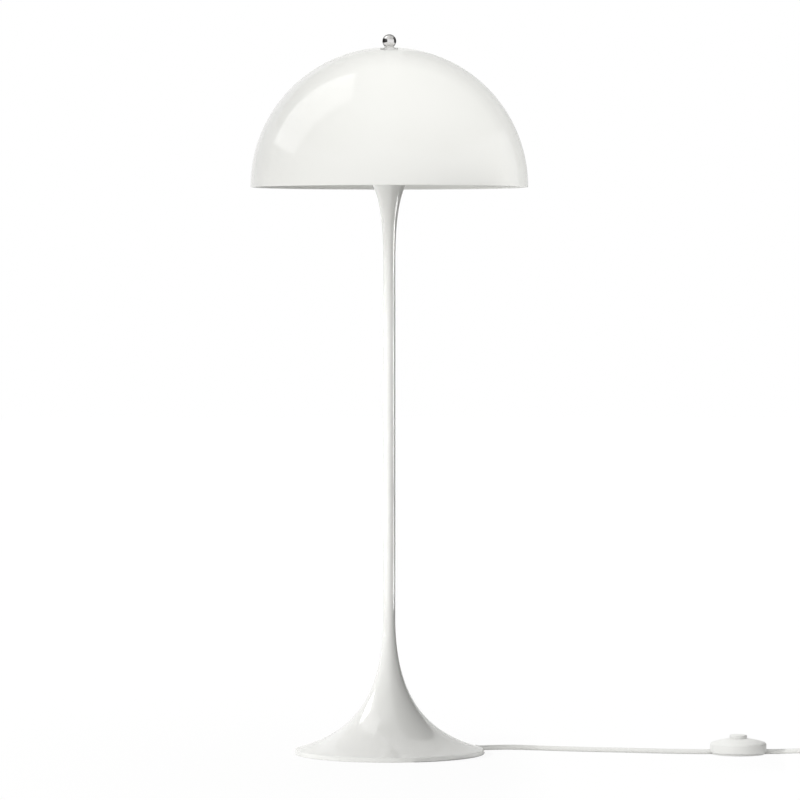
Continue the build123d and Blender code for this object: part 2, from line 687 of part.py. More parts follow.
def bulb_glass():
    """The frosted envelope: a sphere on a flared neck."""
    neck_z = BULB_Z + BULB_CAP_H
    neck_r = BULB_CAP_R + 1.2
    a = math.radians(35)

    def outline(inset):
        r, n = BULB_R - inset, neck_r - inset
        side = (r * math.cos(a), BULB_CENTRE_Z - r * math.sin(a))
        shoulder = (n + 0.35 * (side[0] - n), neck_z + 0.55 * (side[1] - neck_z))
        return [
            Line((0, neck_z), (n, neck_z)),
            ThreePointArc((n, neck_z), shoulder, side),
            ThreePointArc(side, (r, BULB_CENTRE_Z), (0, BULB_CENTRE_Z + r)),
            Line((0, BULB_CENTRE_Z + r), (0, neck_z)),
        ]

    hollow = revolved_wall(outline(BULB_GLASS_T))
    return revolved_wall(outline(0)) - (hollow & ring(BULB_R, 0, neck_z + BULB_GLASS_T, SHADE_TOP_Z))


# ---- shade and finial -------------------------------------------------------------------------
def shade():
    """The opal half sphere, with a thick seat inside its crown and a small flat on top."""
    inner = SHADE_R - SHADE_WALL
    outline = [
        Line((inner, SHADE_RIM_Z), (SHADE_R, SHADE_RIM_Z)),
        Line((SHADE_R, SHADE_RIM_Z), (SHADE_R, SHADE_CENTRE_Z)),
        RadiusArc((SHADE_R, SHADE_CENTRE_Z), (0, SHADE_TOP_Z), -SHADE_R),
        Line((0, SHADE_TOP_Z), (0, SHADE_CENTRE_Z + inner)),
        RadiusArc((0, SHADE_CENTRE_Z + inner), (inner, SHADE_CENTRE_Z), inner),
        Line((inner, SHADE_CENTRE_Z), (inner, SHADE_RIM_Z)),
    ]
    dome = revolved_wall(outline)
    rims = dome.edges().filter_by(lambda e: abs(e.center().Z - SHADE_RIM_Z) < 0.01)
    dome = fillet(rims, SHADE_WALL * 0.4)
    dome += ring(SHADE_BOSS_R, 0, SHADE_BOSS_Z, SHADE_CENTRE_Z + inner - 0.2)
    dome -= ring(SHADE_SPOT_R + OVER, 0, SHADE_SPOT_Z, SHADE_TOP_Z + OVER)
    return dome - ring(STUD_R + SHADE_HOLE_FIT, 0, SHADE_BOSS_Z - OVER, SHADE_TOP_Z + OVER)


def finial_washer():
    return ring(FINIAL_WASHER_R, STUD_R + SHADE_HOLE_FIT, SHADE_SPOT_Z, FINIAL_Z)


def ball_nut():
    """The polished ball that screws down on the stud."""
    ball = Pos(0, 0, FINIAL_CENTRE_Z) * Sphere(FINIAL_R)
    ball -= ring(FINIAL_R, 0, FINIAL_CENTRE_Z - FINIAL_R - OVER, FINIAL_Z)
    return ball - ring(STUD_R + FIT, 0, FINIAL_Z - OVER, STUD_TOP_Z + STUD_TOP_CLEAR)


# ---- foot switch ------------------------------------------------------------------------------
def at_switch(shape):
    """From the switch's own axis to its place beside the lamp."""
    return Pos(SWITCH_X, SWITCH_Y, 0) * shape


def sides(shape):
    """A shape on the switch's +X side and its copy on the other side."""
    return [shape, Rot(0, 0, 180) * shape]


def switch_profile(inset):
    """The cover's outline: upright side, rounded shoulder and a shallow dome."""
    r = SWITCH_R - inset
    top = SWITCH_TOP_Z + SWITCH_CROWN - inset
    side = SWITCH_SIDE_Z1 - inset * 0.6
    shoulder = (r - SWITCH_SHOULDER[0], side + SWITCH_SHOULDER[1])
    bend = (r - 0.31 * SWITCH_SHOULDER[0], side + 0.58 * SWITCH_SHOULDER[1])
    return [
        Line((0, SWITCH_SIDE_Z0), (r, SWITCH_SIDE_Z0)),
        Line((r, SWITCH_SIDE_Z0), (r, side)),
        ThreePointArc((r, side), bend, shoulder),
        RadiusArc(shoulder, (0, top), -SWITCH_DOME_R),
        Line((0, top), (0, SWITCH_SIDE_Z0)),
    ]


def switch_cover():
    """The round cover with the button's hole, a cord notch each side and four screw bosses."""
    outer = revolved_wall(switch_profile(0))
    inner = revolved_wall(switch_profile(SWITCH_WALL))
    rim = outer.edges().filter_by(lambda e: abs(e.center().Z - SWITCH_SIDE_Z0) < 0.01)
    cover = fillet(rim, 0.8) - inner
    boss = Pos(SWITCH_BOSS_PCR, 0, 0) * ring(SWITCH_BOSS_R, M3_R, SWITCH_BASE_TOP_Z, SWITCH_TOP_Z)
    cover += [copy & outer for copy in around(boss, 4, 45)]
    notch = Pos(0, 0, CORD_Z) * Rot(0, 90, 0) * Cylinder(CORD_R + BUTTON_GAP, 3 * SWITCH_R)
    notch += block(-1.5 * SWITCH_R, 1.5 * SWITCH_R, -CORD_R - BUTTON_GAP, CORD_R + BUTTON_GAP, 0, CORD_Z)
    cover -= notch & (ring(SWITCH_R + 5, SWITCH_R - 2 * SWITCH_WALL, 0, 2 * CORD_Z))
    return at_switch(cover - ring(BUTTON_R + BUTTON_GAP, 0, SWITCH_SIDE_Z1, BUTTON_TOP_Z))


def switch_base():
    """The inset bottom plate."""
    base = ring(SWITCH_BASE_R, 0, SWITCH_PAD_H, SWITCH_BASE_TOP_Z)
    half = CORD_R + BUTTON_GAP
    base -= sides(block(CORD_END_IN - OVER, SWITCH_R, -half, half, 0, SWITCH_BASE_TOP_Z + OVER))
    screw = Pos(SWITCH_BOSS_PCR, 0, 0) * csk_hole(M3_R, SWITCH_PAD_H, SWITCH_BASE_T + OVER)
    return at_switch(base - around(screw, 4, 45))


def switch_pads():
    pad = Pos(SWITCH_PAD_PCR, 0, 0) * ring(SWITCH_PAD_R, 0, 0, SWITCH_PAD_H)
    return at_switch(group(around(pad, 2, 90)))


def switch_screws():
    screw = Pos(SWITCH_BOSS_PCR, 0, 0) * csk_screw(M3_R, SWITCH_PAD_H, SWITCH_SCREW_L)
    return at_switch(group(around(screw, 4, 45)))


def switch_terminals():
    """The blocks where each cord's wires are held."""
    top = SWITCH_BASE_TOP_Z + SWITCH_BLOCK_H
    back = CORD_END_IN - SWITCH_BLOCK_L
    half = SWITCH_BLOCK_W / 2
    one = block(back, CORD_END_IN, -half, half, SWITCH_BASE_TOP_Z, top)
    for side in (-1, 1):
        one -= Pos(back + SWITCH_BLOCK_L / 2, side * half / 2, 0) * ring(1.8, 0, top - 2, top + OVER)
    return at_switch(group(sides(one)))


def cord_clamps():
    """A saddle over each cord, just inside the cover."""
    x = CORD_END_IN + CLAMP_FROM_END
    x0 = x - CLAMP_L / 2
    x1 = x + CLAMP_L / 2
    grip = CORD_R + FIT
    saddle = block(x0, x1, -CLAMP_W / 2, CLAMP_W / 2, SWITCH_BASE_TOP_Z, CLAMP_TOP_Z)
    saddle -= Pos(x, 0, CORD_Z) * Rot(0, 90, 0) * Cylinder(grip, 2 * CLAMP_L)
    saddle -= block(x0 - OVER, x1 + OVER, -grip, grip, 0, CORD_Z)
    for side in (-1, 1):
        saddle -= Pos(x, side * CLAMP_SCREW_Y, 0) * ring(M3_R + FIT, 0, 0, CLAMP_TOP_Z + OVER)
    return at_switch(group(sides(saddle)))


def clamp_screws():
    x = CORD_END_IN + CLAMP_FROM_END
    head_r = M3_R + 1.1
    screw = ring(M3_R, 0, SWITCH_BASE_TOP_Z, CLAMP_TOP_Z) + ring(head_r, 0, CLAMP_TOP_Z, CLAMP_TOP_Z + 1.8)
    pair = sides(Pos(x, CLAMP_SCREW_Y, 0) * screw) + sides(Pos(x, -CLAMP_SCREW_Y, 0) * screw)
    return at_switch(group(pair))


MECH_Z = SWITCH_BASE_TOP_Z
MECH_TOP_Z = MECH_Z + MECH_H
ROCKER_EYE_R = ROCKER_PIN_R + 0.9
ROCKER_PIN_Z = MECH_TOP_Z - MECH_LID - SEAT - ROCKER_EYE_R
ROCKER_TOP_Z = ROCKER_PIN_Z + ROCKER_T / 2
PLUNGER_Z = ROCKER_TOP_Z + 0.2


def mech_housing():
    """The box over the contacts, with the plunger's hole in its lid."""
    box = block(-MECH_L / 2, MECH_L / 2, -MECH_W / 2, MECH_W / 2, MECH_Z, MECH_TOP_Z)
    inner_l, inner_w = MECH_L / 2 - MECH_WALL, MECH_W / 2 - MECH_WALL
    box -= block(-inner_l, inner_l, -inner_w, inner_w, MECH_Z - OVER, MECH_TOP_Z - MECH_LID)
    box -= ring(PLUNGER_R + 0.5, 0, MECH_TOP_Z - 2 * MECH_LID, MECH_TOP_Z + OVER)
    pin = Pos(ROCKER_X, 0, ROCKER_PIN_Z) * Rot(90, 0, 0) * Cylinder(ROCKER_PIN_R + 0.02, MECH_W + 2)
    return at_switch(box - pin)


def rocker_pin():
    return at_switch(Pos(ROCKER_X, 0, ROCKER_PIN_Z) * Rot(90, 0, 0) * Cylinder(ROCKER_PIN_R, MECH_W))


def contact_rocker():
    """The brass arm that the plunger tips onto the fixed contact."""
    half = ROCKER_W / 2
    arm = block(ROCKER_X, ROCKER_X + ROCKER_REACH, -half, half, ROCKER_PIN_Z - ROCKER_T / 2, ROCKER_TOP_Z)
    eye = Pos(ROCKER_X, 0, ROCKER_PIN_Z) * Rot(90, 0, 0) * Cylinder(ROCKER_EYE_R, ROCKER_W)
    bore = Pos(ROCKER_X, 0, ROCKER_PIN_Z) * Rot(90, 0, 0) * Cylinder(ROCKER_PIN_R + 0.04, ROCKER_W + 2)
    return at_switch(arm + eye - bore)


def fixed_contact():
    """The brass stud that the arm lands on."""
    swing = math.radians(ROCKER_SWING)
    tip_x = ROCKER_X + ROCKER_REACH * math.cos(swing) - 2.5
    drop = ROCKER_REACH * math.sin(swing) + ROCKER_T / 2 * math.cos(swing)
    top = ROCKER_PIN_Z - drop - 0.2
    return at_switch(Pos(tip_x, 0, 0) * ring(2.2, 0, MECH_Z, top))


def switch_button():
    """The round button, hollow, with a collar under the cover and a plunger."""
    button = ring(BUTTON_R, 0, BUTTON_FLANGE_Z, BUTTON_TOP_Z)
    top_edge = button.edges().filter_by(lambda e: abs(e.center().Z - BUTTON_TOP_Z) < 0.01)
    button = fillet(top_edge, 1.2)
    button += ring(BUTTON_R + BUTTON_FLANGE, 0, BUTTON_FLANGE_Z, BUTTON_FLANGE_Z + BUTTON_FLANGE_T)
    roof = BUTTON_TOP_Z - BUTTON_WALL
    button -= ring(BUTTON_R - BUTTON_WALL, 0, BUTTON_FLANGE_Z - OVER, roof)
    plunger = ring(PLUNGER_R, 0, PLUNGER_Z + PLUNGER_R, roof + 0.5)
    plunger += Pos(0, 0, PLUNGER_Z + PLUNGER_R) * Sphere(PLUNGER_R)
    return at_switch(button + plunger)


def button_spring():
    """The return spring round the plunger, as a thin sleeve of its outer size."""
    return at_switch(ring(SPRING_R + SPRING_WIRE, SPRING_R, MECH_TOP_Z, BUTTON_TOP_Z - BUTTON_WALL))


# ---- coil, tie and plug -----------------------------------------------------------------------
def coil_arcs():
    """Half turns as (centre y, radius, start side, start height, end height): in, up a layer, out."""
    halves = 2 * COIL_TURNS_IN
    radii = [COIL_R - k * COIL_PITCH / 2 for k in range(halves + 1)]
    radii += radii[halves - 1:0:-1]
    arcs = []
    y, side, z = COIL_Y - COIL_R, -1, COIL_Z
    for k, radius in enumerate(radii):
        z_end = z + COIL_LAYER if k == halves else z
        arcs.append((y - side * radius, radius, side, z, z_end))
        y -= 2 * side * radius
        side, z = -side, z_end
    return arcs, y, z


def coil_path():
    """The coil's centre line: a lead, the half turns, a last quarter turn and a lead."""
    arcs, last_y, last_z = coil_arcs()
    lead = 2 * CORD_R
    edges = [Line((COIL_X - lead, COIL_Y - COIL_R, COIL_Z), (COIL_X, COIL_Y - COIL_R, COIL_Z))]
    for centre, radius, side, z0, z1 in arcs:
        start = (COIL_X, centre + side * radius, z0)
        mid = (COIL_X - side * radius, centre, (z0 + z1) / 2)
        end = (COIL_X, centre - side * radius, z1)
        edges.append(ThreePointArc(start, mid, end))
    centre = last_y + COIL_R
    diagonal = COIL_R * math.sqrt(0.5)
    edges.append(
        ThreePointArc(
            (COIL_X, last_y, last_z),
            (COIL_X + diagonal, centre - diagonal, last_z),
            (COIL_X + COIL_R, centre, last_z),
        )
    )
    edges.append(Line((COIL_X + COIL_R, centre, last_z), (COIL_X + COIL_R, centre + lead, last_z)))
    return Wire(edges), (COIL_X + COIL_R, centre + lead, last_z)


def least_gap(path):
    """The least gap of the tube to itself, on points along it, and where turns are nearest."""
    step = 3.0
    count = int(path.length / step)
    spots = [path @ (k / count) for k in range(count + 1)]
    apart = int(8 * CORD_R / step)
    return min(
        (spots[i] - spots[j]).length - 2 * CORD_R
        for i in range(len(spots))
        for j in range(i + apart, len(spots))
    )


def cord_coil():
    """The put-away length: three turns in, up a layer, and out again."""
    path, _ = coil_path()
    tube = tube_along(path, CORD_R)
    share = tube.volume / (math.pi * CORD_R**2 * path.length)
    print(f"cord_coil: length {path.length:.0f}, volume share {share:.4f}, least gap {least_gap(path):.2f}")
    return tube


def coil_tie():
    """The strap round the bundle on its left side."""
    arcs, _, _ = coil_arcs()
    left = [(centre, radius) for centre, radius, side, z0, z1 in arcs if side > 0]
    outer = max(radius for _, radius in left)
    inner = min(radius for _, radius in left)
    mid_y = sum(centre for centre, _ in left) / len(left)
    spread = max(abs(centre - mid_y) for centre, _ in left)
    bow = (TIE_STRAP_W / 2 + spread) ** 2 / (2 * inner)
    x0 = COIL_X - outer - CORD_R - SEAT
    x1 = COIL_X - inner + CORD_R + SEAT + bow
    z0 = COIL_Z - CORD_R - SEAT
    z1 = COIL_Z + COIL_LAYER + CORD_R + SEAT
    y0, y1 = mid_y - TIE_STRAP_W / 2, mid_y + TIE_STRAP_W / 2
    t = TIE_STRAP_T
    strap = block(x0 - t, x1 + t, y0, y1, z0 - t, z1 + t)
    strap = fillet(strap.edges().filter_by(Axis.Y), 2.5)
    window = block(x0, x1, y0 - OVER, y1 + OVER, z0, z1)
    return strap - fillet(window.edges().filter_by(Axis.Y), 1.8)


_, COIL_END = coil_path()
PLUG_Z = CORD_LIFT + PLUG_T / 2
PLUG_X = COIL_END[0] - 3.0
PLUG_BOOT_Y = COIL_END[1] + 92.0
PLUG_Y = PLUG_BOOT_Y + PLUG_BOOT_L
PLUG_ROUTE = [
    COIL_END,
    (COIL_END[0], COIL_END[1] + 24.0, COIL_END[2]),
    (PLUG_X, PLUG_BOOT_Y - 32.0, PLUG_Z),
    (PLUG_X, PLUG_BOOT_Y, PLUG_Z),
]


def plug_boot():
    """The tapered strain relief of the plug."""
    narrow = CORD_R + 0.9
    wide = CORD_R + 2.0
    cone = Cone(narrow, wide, PLUG_BOOT_L, align=(Align.CENTER, Align.CENTER, Align.MIN))
    return Pos(PLUG_X, PLUG_BOOT_Y, PLUG_Z) * Rot(-90, 0, 0) * cone


def plug_body():
    """The flat moulded body of a two-pin plug."""
    corner = PLUG_T / 2 - 0.3
    taper = PLUG_L * PLUG_TAPER
    back = Plane.XZ * RectangleRounded(PLUG_W * PLUG_BACK, PLUG_T, corner)
    face = Pos(0, taper, 0) * (Plane.XZ * RectangleRounded(PLUG_W, PLUG_T, corner))
    shape = loft([back, face]) + extrude(face, taper - PLUG_L)
    return Pos(PLUG_X, PLUG_Y, PLUG_Z) * shape


def plug_pins():
    pin = ring(PLUG_PIN_R, 0, 0, PLUG_PIN_L)
    tip = pin.edges().filter_by(lambda e: abs(e.center().Z - PLUG_PIN_L) < 0.01)
    pin = Pos(PLUG_X, PLUG_Y + PLUG_L, PLUG_Z) * Rot(-90, 0, 0) * fillet(tip, 1.2)
    return group(Pos(side * PLUG_PIN_SPACING / 2, 0, 0) * pin for side in (-1, 1))


def inner_cord():
    """The flex from the terminal block up the threaded tube to the lampholder."""
    bend = 9.0
    path = FilletPolyline(
        radial(TERMINAL_R0, TERMINAL_MID_Z),
        (0, 0, TERMINAL_MID_Z),
        (0, 0, INSERT_Z - 5),
        radius=bend,
    )
    return tube_along(path, INNER_CORD_R)


NODES = {
    "foot_shell": foot_shell,
    "ballast_plate": ballast_plate,
    "base_cover": base_cover,
    "foot_pads": foot_pads,
    "cover_screws": cover_screws,
    "socket_screws": socket_screws,
    "stem_socket": stem_socket,
    "socket_locknut": socket_locknut,
    "foot_terminal": foot_terminal,
    "terminal_screws": terminal_screws,
    "foot_clamp": foot_clamp,
    "foot_clamp_screws": foot_clamp_screws,
    "cord_grommet": cord_grommet,
    "cord_in_foot": lambda: cord_tube("cord_in_foot", FOOT_ROUTE),
    "tie_tube": tie_tube,
    "spigot_lower": lambda: spigot(FOOT_TOP_Z, FOOT_NECK_BORE_R, STEM_BORE_R),
    "stem_tube": stem_tube,
    "spigot_upper": lambda: spigot(TRUMPET_BOTTOM_Z, STEM_BORE_R, TRUMPET_BORE_R),
    "top_trumpet": top_trumpet,
    "carrier_hub": carrier_hub,
    "hub_washer": lambda: ring(HUB_WASHER_R, TIE_R + FIT, HUB_TOP_Z, NUT_Z),
    "hub_nut": lambda: hex_nut(HUB_NUT_AF, TIE_R + FIT, NUT_Z, NUT_Z + HUB_NUT_T),
    "carrier_rods": carrier_rods,
    "carrier_top": carrier_top,
    "shade_stud": shade_stud,
    "stud_locknut": stud_locknut,
    "seat_washer": seat_washer,
    "holder_cap": holder_cap,
    "holder_body": holder_body,
    "holder_insert": holder_insert,
    "screw_shell": screw_shell,
    "centre_contact": centre_contact,
    "holder_terminals": holder_terminals,
    "inner_cord": inner_cord,
    "bulb_cap": bulb_cap,
    "bulb_glass": bulb_glass,
    "shade": shade,
    "finial_washer": finial_washer,
    "ball_nut": ball_nut,
    "cord_foot_to_switch": lambda: cord_tube("cord_foot_to_switch", SWITCH_ROUTE),
    "switch_base": switch_base,
    "switch_cover": switch_cover,
    "switch_pads": switch_pads,
    "switch_screws": switch_screws,
    "switch_terminals": switch_terminals,
    "cord_clamps": cord_clamps,
    "clamp_screws": clamp_screws,
    "mech_housing": mech_housing,
    "rocker_pin": rocker_pin,
    "contact_rocker": contact_rocker,
    "fixed_contact": fixed_contact,
    "switch_button": switch_button,
    "button_spring": button_spring,
    "cord_switch_to_coil": lambda: cord_tube("cord_switch_to_coil", COIL_ROUTE),
    "cord_coil": cord_coil,
    "coil_tie": coil_tie,
    "cord_coil_to_plug": lambda: cord_tube("cord_coil_to_plug", PLUG_ROUTE),
    "plug_boot": plug_boot,
    "plug_body": plug_body,
    "plug_pins": plug_pins,
}

os.makedirs("parts", exist_ok=True)
for name, make in NODES.items():
    export_step(make(), f"parts/{name}.step")
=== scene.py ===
"""Dressing of the mushroom floor lamp: finishes, smooth turned shells, cords, floor, light and camera."""
import json
import math
import bmesh
import bpy
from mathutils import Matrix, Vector


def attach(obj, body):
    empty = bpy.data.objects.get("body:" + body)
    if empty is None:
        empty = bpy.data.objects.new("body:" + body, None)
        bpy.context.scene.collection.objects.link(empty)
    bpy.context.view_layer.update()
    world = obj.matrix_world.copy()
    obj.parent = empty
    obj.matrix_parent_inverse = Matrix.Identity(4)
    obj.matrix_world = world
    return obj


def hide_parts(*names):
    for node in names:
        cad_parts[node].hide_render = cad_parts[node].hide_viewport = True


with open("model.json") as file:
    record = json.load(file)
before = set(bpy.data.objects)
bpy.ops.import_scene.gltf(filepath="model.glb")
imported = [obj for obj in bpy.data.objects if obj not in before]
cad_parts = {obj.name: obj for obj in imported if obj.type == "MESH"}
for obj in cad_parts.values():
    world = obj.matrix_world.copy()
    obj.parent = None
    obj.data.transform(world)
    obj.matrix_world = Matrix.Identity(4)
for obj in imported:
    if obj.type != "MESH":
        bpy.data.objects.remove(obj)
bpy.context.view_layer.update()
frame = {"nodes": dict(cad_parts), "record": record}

MM = 0.001
NODES = frame["nodes"]

# ---- sizes of the turned shells, in millimetres as drawn ---------------------------------------
FOOT_R, FOOT_RIM_Z, FOOT_RIM_ANGLE, FOOT_RIM_PULL = 172.0, 8.1, 14.9, 101.4
FOOT_TOP_Z, FOOT_NECK_PULL, FOOT_WALL = 246.7, 153.9, 2.2
FOOT_LIP_Z, FOOT_LIP_W, FOOT_BEAD_R, NOTCH_L = 0.6, 3.4, 1.6, 22.0
STEM_R, STEM_WALL = 11.0, 2.0
TRUMPET_BOTTOM_Z, TRUMPET_TOP_Z, TRUMPET_TOP_R = 882.0, 1064.9, 60.0
TRUMPET_TOP_ANGLE, TRUMPET_TOP_PULL, TRUMPET_NECK_PULL = 36.85, 51.3, 94.4
TRUMPET_WALL, TRUMPET_BEAD_R, TRUMPET_BEAD_START, TRUMPET_BEAD_END = 1.5, 1.7, -100, 210
SHADE_R, SHADE_WALL, SHADE_RIM_Z, SHADE_SKIRT = 250.0, 3.0, 1021.8, 2.0
SHADE_BOSS_R, SHADE_BOSS_DROP, SHADE_SPOT_R, SHADE_HOLE_R = 14.0, 5.0, 10.0, 3.3
SHADE_RIM_R = 0.4 * SHADE_WALL
SHADE_SPOT_STEP, SHADE_SPOT_BEVEL, SHADE_BOSS_FILLET, SHADE_BOSS_BEVEL = 1.0, 0.3, 1.5, 0.5
FOOT_LIP_BEVEL = 0.4
CORD_R, CORD_LIFT, CORD_AZ = 4.5, 0.2, 20.0
CORD_Z = CORD_R + CORD_LIFT
NOTCH_GAP, NOTCH_REACH = 1.3, 60.0
NOTCH_R = CORD_R + NOTCH_GAP
SWITCH_X, SWITCH_Y, CORD_END_IN = 629.5, -10.0, 32.0
COIL_X, COIL_Y, COIL_R = 820.0, 71.0, 65.0
COIL_PITCH, COIL_LAYER, COIL_TURNS_IN, POINTS_PER_TURN = 9.6, 9.6, 3, 16
TIE_STRAP_T, SEAT = 0.8, 0.3
COIL_Z = CORD_LIFT + TIE_STRAP_T + SEAT + CORD_R
CORD_EXIT_IN, CORD_EXIT_RUN = 2.0, 30.0
CORD_EXIT_R = FOOT_R - CORD_EXIT_IN
SWITCH_RUN_IN, SWITCH_RUN_OUT = 45.0, 37.0
PLUG_T, PLUG_ASIDE = 13.7, 3.0
TAIL_LENGTH, TAIL_START, TAIL_END = 92.0, 24.0, 32.0
LEAD_RISE = 0.3

# ---- fineness of the turned shells -------------------------------------------------------------
FOOT_ROUND, FOOT_STEPS, FOOT_BEAD_STEPS = 256, 110, 10
STEM_ROUND, STEM_STEPS, NOTCH_ROUND = 128, 24, 48
TRUMPET_ROUND, TRUMPET_STEPS, TRUMPET_LIP_STEPS = 192, 90, 24
SHADE_ROUND, SHADE_STEPS, SHADE_RIM_STEPS = 288, 120, 6
CORD_ORDER, CORD_STEPS, CORD_ROUND = 3, 8, 7
CREASE_ANGLE, ON_AXIS = 32, 1e-6

# ---- strength of the shared shader effects -----------------------------------------------------
PATCH_LOW, PATCH_HIGH = 0.3, 0.7
STREAK_LOW, STREAK_HIGH = 0.35, 0.7
WEAVE_SCALE, WEAVE_HEIGHT = 700.0, 0.0003


# ---- shader node groups ------------------------------------------------------------------------
def group_with(name, inputs, outputs):
    """A shader node group with named sockets: {name: (kind, default)} in, {name: kind} out."""
    group = bpy.data.node_groups.new(name, "ShaderNodeTree")
    for title, (kind, default) in inputs.items():
        socket = group.interface.new_socket(title, in_out="INPUT", socket_type=kind)
        socket.default_value = default
    for title, kind in outputs.items():
        group.interface.new_socket(title, in_out="OUTPUT", socket_type=kind)
    enter = group.nodes.new("NodeGroupInput")
    leave = group.nodes.new("NodeGroupOutput")
    return group, enter, leave


def noise(tree, scale, detail, rough=0.5):
    """A noise texture in object space, with its scale from a socket."""
    place = tree.nodes.new("ShaderNodeTexCoord")
    node = tree.nodes.new("ShaderNodeTexNoise")
    tree.links.new(place.outputs["Object"], node.inputs["Vector"])
    node.inputs["Detail"].default_value = detail
    node.inputs["Roughness"].default_value = rough
    tree.links.new(scale, node.inputs["Scale"])
    return node.outputs["Fac"]


def remap(tree, value, low, high, to_low, to_high):
    """A value mapped from one range to another; the last two may be sockets."""
    node = tree.nodes.new("ShaderNodeMapRange")
    tree.links.new(value, node.inputs["Value"])
    node.inputs["From Min"].default_value = low
    node.inputs["From Max"].default_value = high
    for title, end in (("To Min", to_low), ("To Max", to_high)):
        if isinstance(end, (int, float)):
            node.inputs[title].default_value = end
        else:
            tree.links.new(end, node.inputs[title])
    return node.outputs["Result"]


def mix_colour(tree, factor, first, second):
    """Two colours mixed by a factor; each may be a colour or a socket."""
    node = tree.nodes.new("ShaderNodeMix")
    node.data_type = "RGBA"
    for socket, value in ((node.inputs[0], factor), (node.inputs[6], first), (node.inputs[7], second)):
        if hasattr(value, "links"):
            tree.links.new(value, socket)
        else:
            socket.default_value = value
    return node.outputs[2]


def product(tree, first, second):
    """The product of a socket and a number or another socket."""
    node = tree.nodes.new("ShaderNodeMath")
    node.operation = "MULTIPLY"
    tree.links.new(first, node.inputs[0])
    if isinstance(second, float):
        node.inputs[1].default_value = second
    else:
        tree.links.new(second, node.inputs[1])
    return node.outputs[0]


def build_tone_drift():
    """Slow, faint change of a colour over a surface."""
    group, enter, leave = group_with(
        "tone_drift",
        {
            "Colour": ("NodeSocketColor", (0.9, 0.9, 0.9, 1)),
            "Other Colour": ("NodeSocketColor", (0.85, 0.85, 0.85, 1)),
            "Scale": ("NodeSocketFloat", 4.0),
        },
        {"Colour": "NodeSocketColor"},
    )
    patches = remap(group, noise(group, enter.outputs["Scale"], 3.0), PATCH_LOW, PATCH_HIGH, 0.0, 1.0)
    mixed = mix_colour(group, patches, enter.outputs["Colour"], enter.outputs["Other Colour"])
    group.links.new(mixed, leave.inputs["Colour"])
    return group


def build_fine_relief():
    """The height of a fine surface grain: orange peel, cast sand or moulded texture."""
    group, enter, leave = group_with(
        "fine_relief",
        {"Scale": ("NodeSocketFloat", 300.0), "Height": ("NodeSocketFloat", 0.1)},
        {"Height": "NodeSocketFloat"},
    )
    grain = noise(group, enter.outputs["Scale"], 4.0, 0.55)
    group.links.new(product(group, grain, enter.outputs["Height"]), leave.inputs["Height"])
    return group


def build_rub_marks():
    """Roughness between two values, in the streaks that wiping and handling leave."""
    group, enter, leave = group_with(
        "rub_marks",
        {
            "Clean": ("NodeSocketFloat", 0.1),
            "Rubbed": ("NodeSocketFloat", 0.2),
            "Scale": ("NodeSocketFloat", 20.0),
        },
        {"Roughness": "NodeSocketFloat"},
    )
    streaks = noise(group, enter.outputs["Scale"], 6.0, 0.6)
    clean, rubbed = enter.outputs["Clean"], enter.outputs["Rubbed"]
    rough = remap(group, streaks, STREAK_LOW, STREAK_HIGH, clean, rubbed)
    group.links.new(rough, leave.inputs["Roughness"])
    return group


TONE_DRIFT = build_tone_drift()
FINE_RELIEF = build_fine_relief()
RUB_MARKS = build_rub_marks()


# ---- materials ---------------------------------------------------------------------------------
def finish_of(name, colour, other, drift, clean, rubbed, rub_scale, grain, height, distance, **sockets):
    """A material from the shared groups; sockets are plain values of the shader's own inputs."""
    material = bpy.data.materials.new(name)
    material.use_nodes = True
    tree = material.node_tree
    shader = tree.nodes["Principled BSDF"]
    tone = tree.nodes.new("ShaderNodeGroup")
    tone.node_tree = TONE_DRIFT
    tone.inputs["Colour"].default_value = (*colour, 1)
    tone.inputs["Other Colour"].default_value = (*other, 1)
    tone.inputs["Scale"].default_value = drift
    tree.links.new(tone.outputs["Colour"], shader.inputs["Base Color"])
    rub = tree.nodes.new("ShaderNodeGroup")
    rub.node_tree = RUB_MARKS
    rub.inputs["Clean"].default_value = clean
    rub.inputs["Rubbed"].default_value = rubbed
    rub.inputs["Scale"].default_value = rub_scale
    tree.links.new(rub.outputs["Roughness"], shader.inputs["Roughness"])
    relief = tree.nodes.new("ShaderNodeGroup")
    relief.node_tree = FINE_RELIEF
    relief.inputs["Scale"].default_value = grain
    relief.inputs["Height"].default_value = height
    bump = tree.nodes.new("ShaderNodeBump")
    bump.inputs["Distance"].default_value = distance
    tree.links.new(relief.outputs["Height"], bump.inputs["Height"])
    tree.links.new(bump.outputs["Normal"], shader.inputs["Normal"])
    for title, value in sockets.items():
        shader.inputs[title.replace("_", " ")].default_value = value
    return material


def paint_edge_shade(material, start, end, most, painted_shade_colour):
    """Paints shade into a finish: its colour falls to a darker tone where the surface turns away from the
    eye, a painted dark outline along the silhouette.
    """
    tree = material.node_tree
    shader = tree.nodes["Principled BSDF"]
    facing = tree.nodes.new("ShaderNodeLayerWeight")
    facing.inputs["Blend"].default_value = 0.5
    share = remap(tree, facing.outputs["Facing"], start, end, 0.0, most)
    plain = shader.inputs["Base Color"].links[0].from_socket
    blend = mix_colour(tree, share, plain, (*painted_shade_colour, 1))
    tree.links.new(blend, shader.inputs["Base Color"])
    return material


def enamel():
    """Gloss white stove enamel on spun metal, with a trace of orange peel."""
    return finish_of(
        "enamel_white", (0.88, 0.88, 0.865), (0.865, 0.865, 0.85),
        drift=5.0, clean=0.10, rubbed=0.15, rub_scale=12.0, grain=160.0, height=0.05,
        distance=0.0004, Coat_Weight=0.6, Coat_Roughness=0.04, Specular_IOR_Level=0.5,
    )


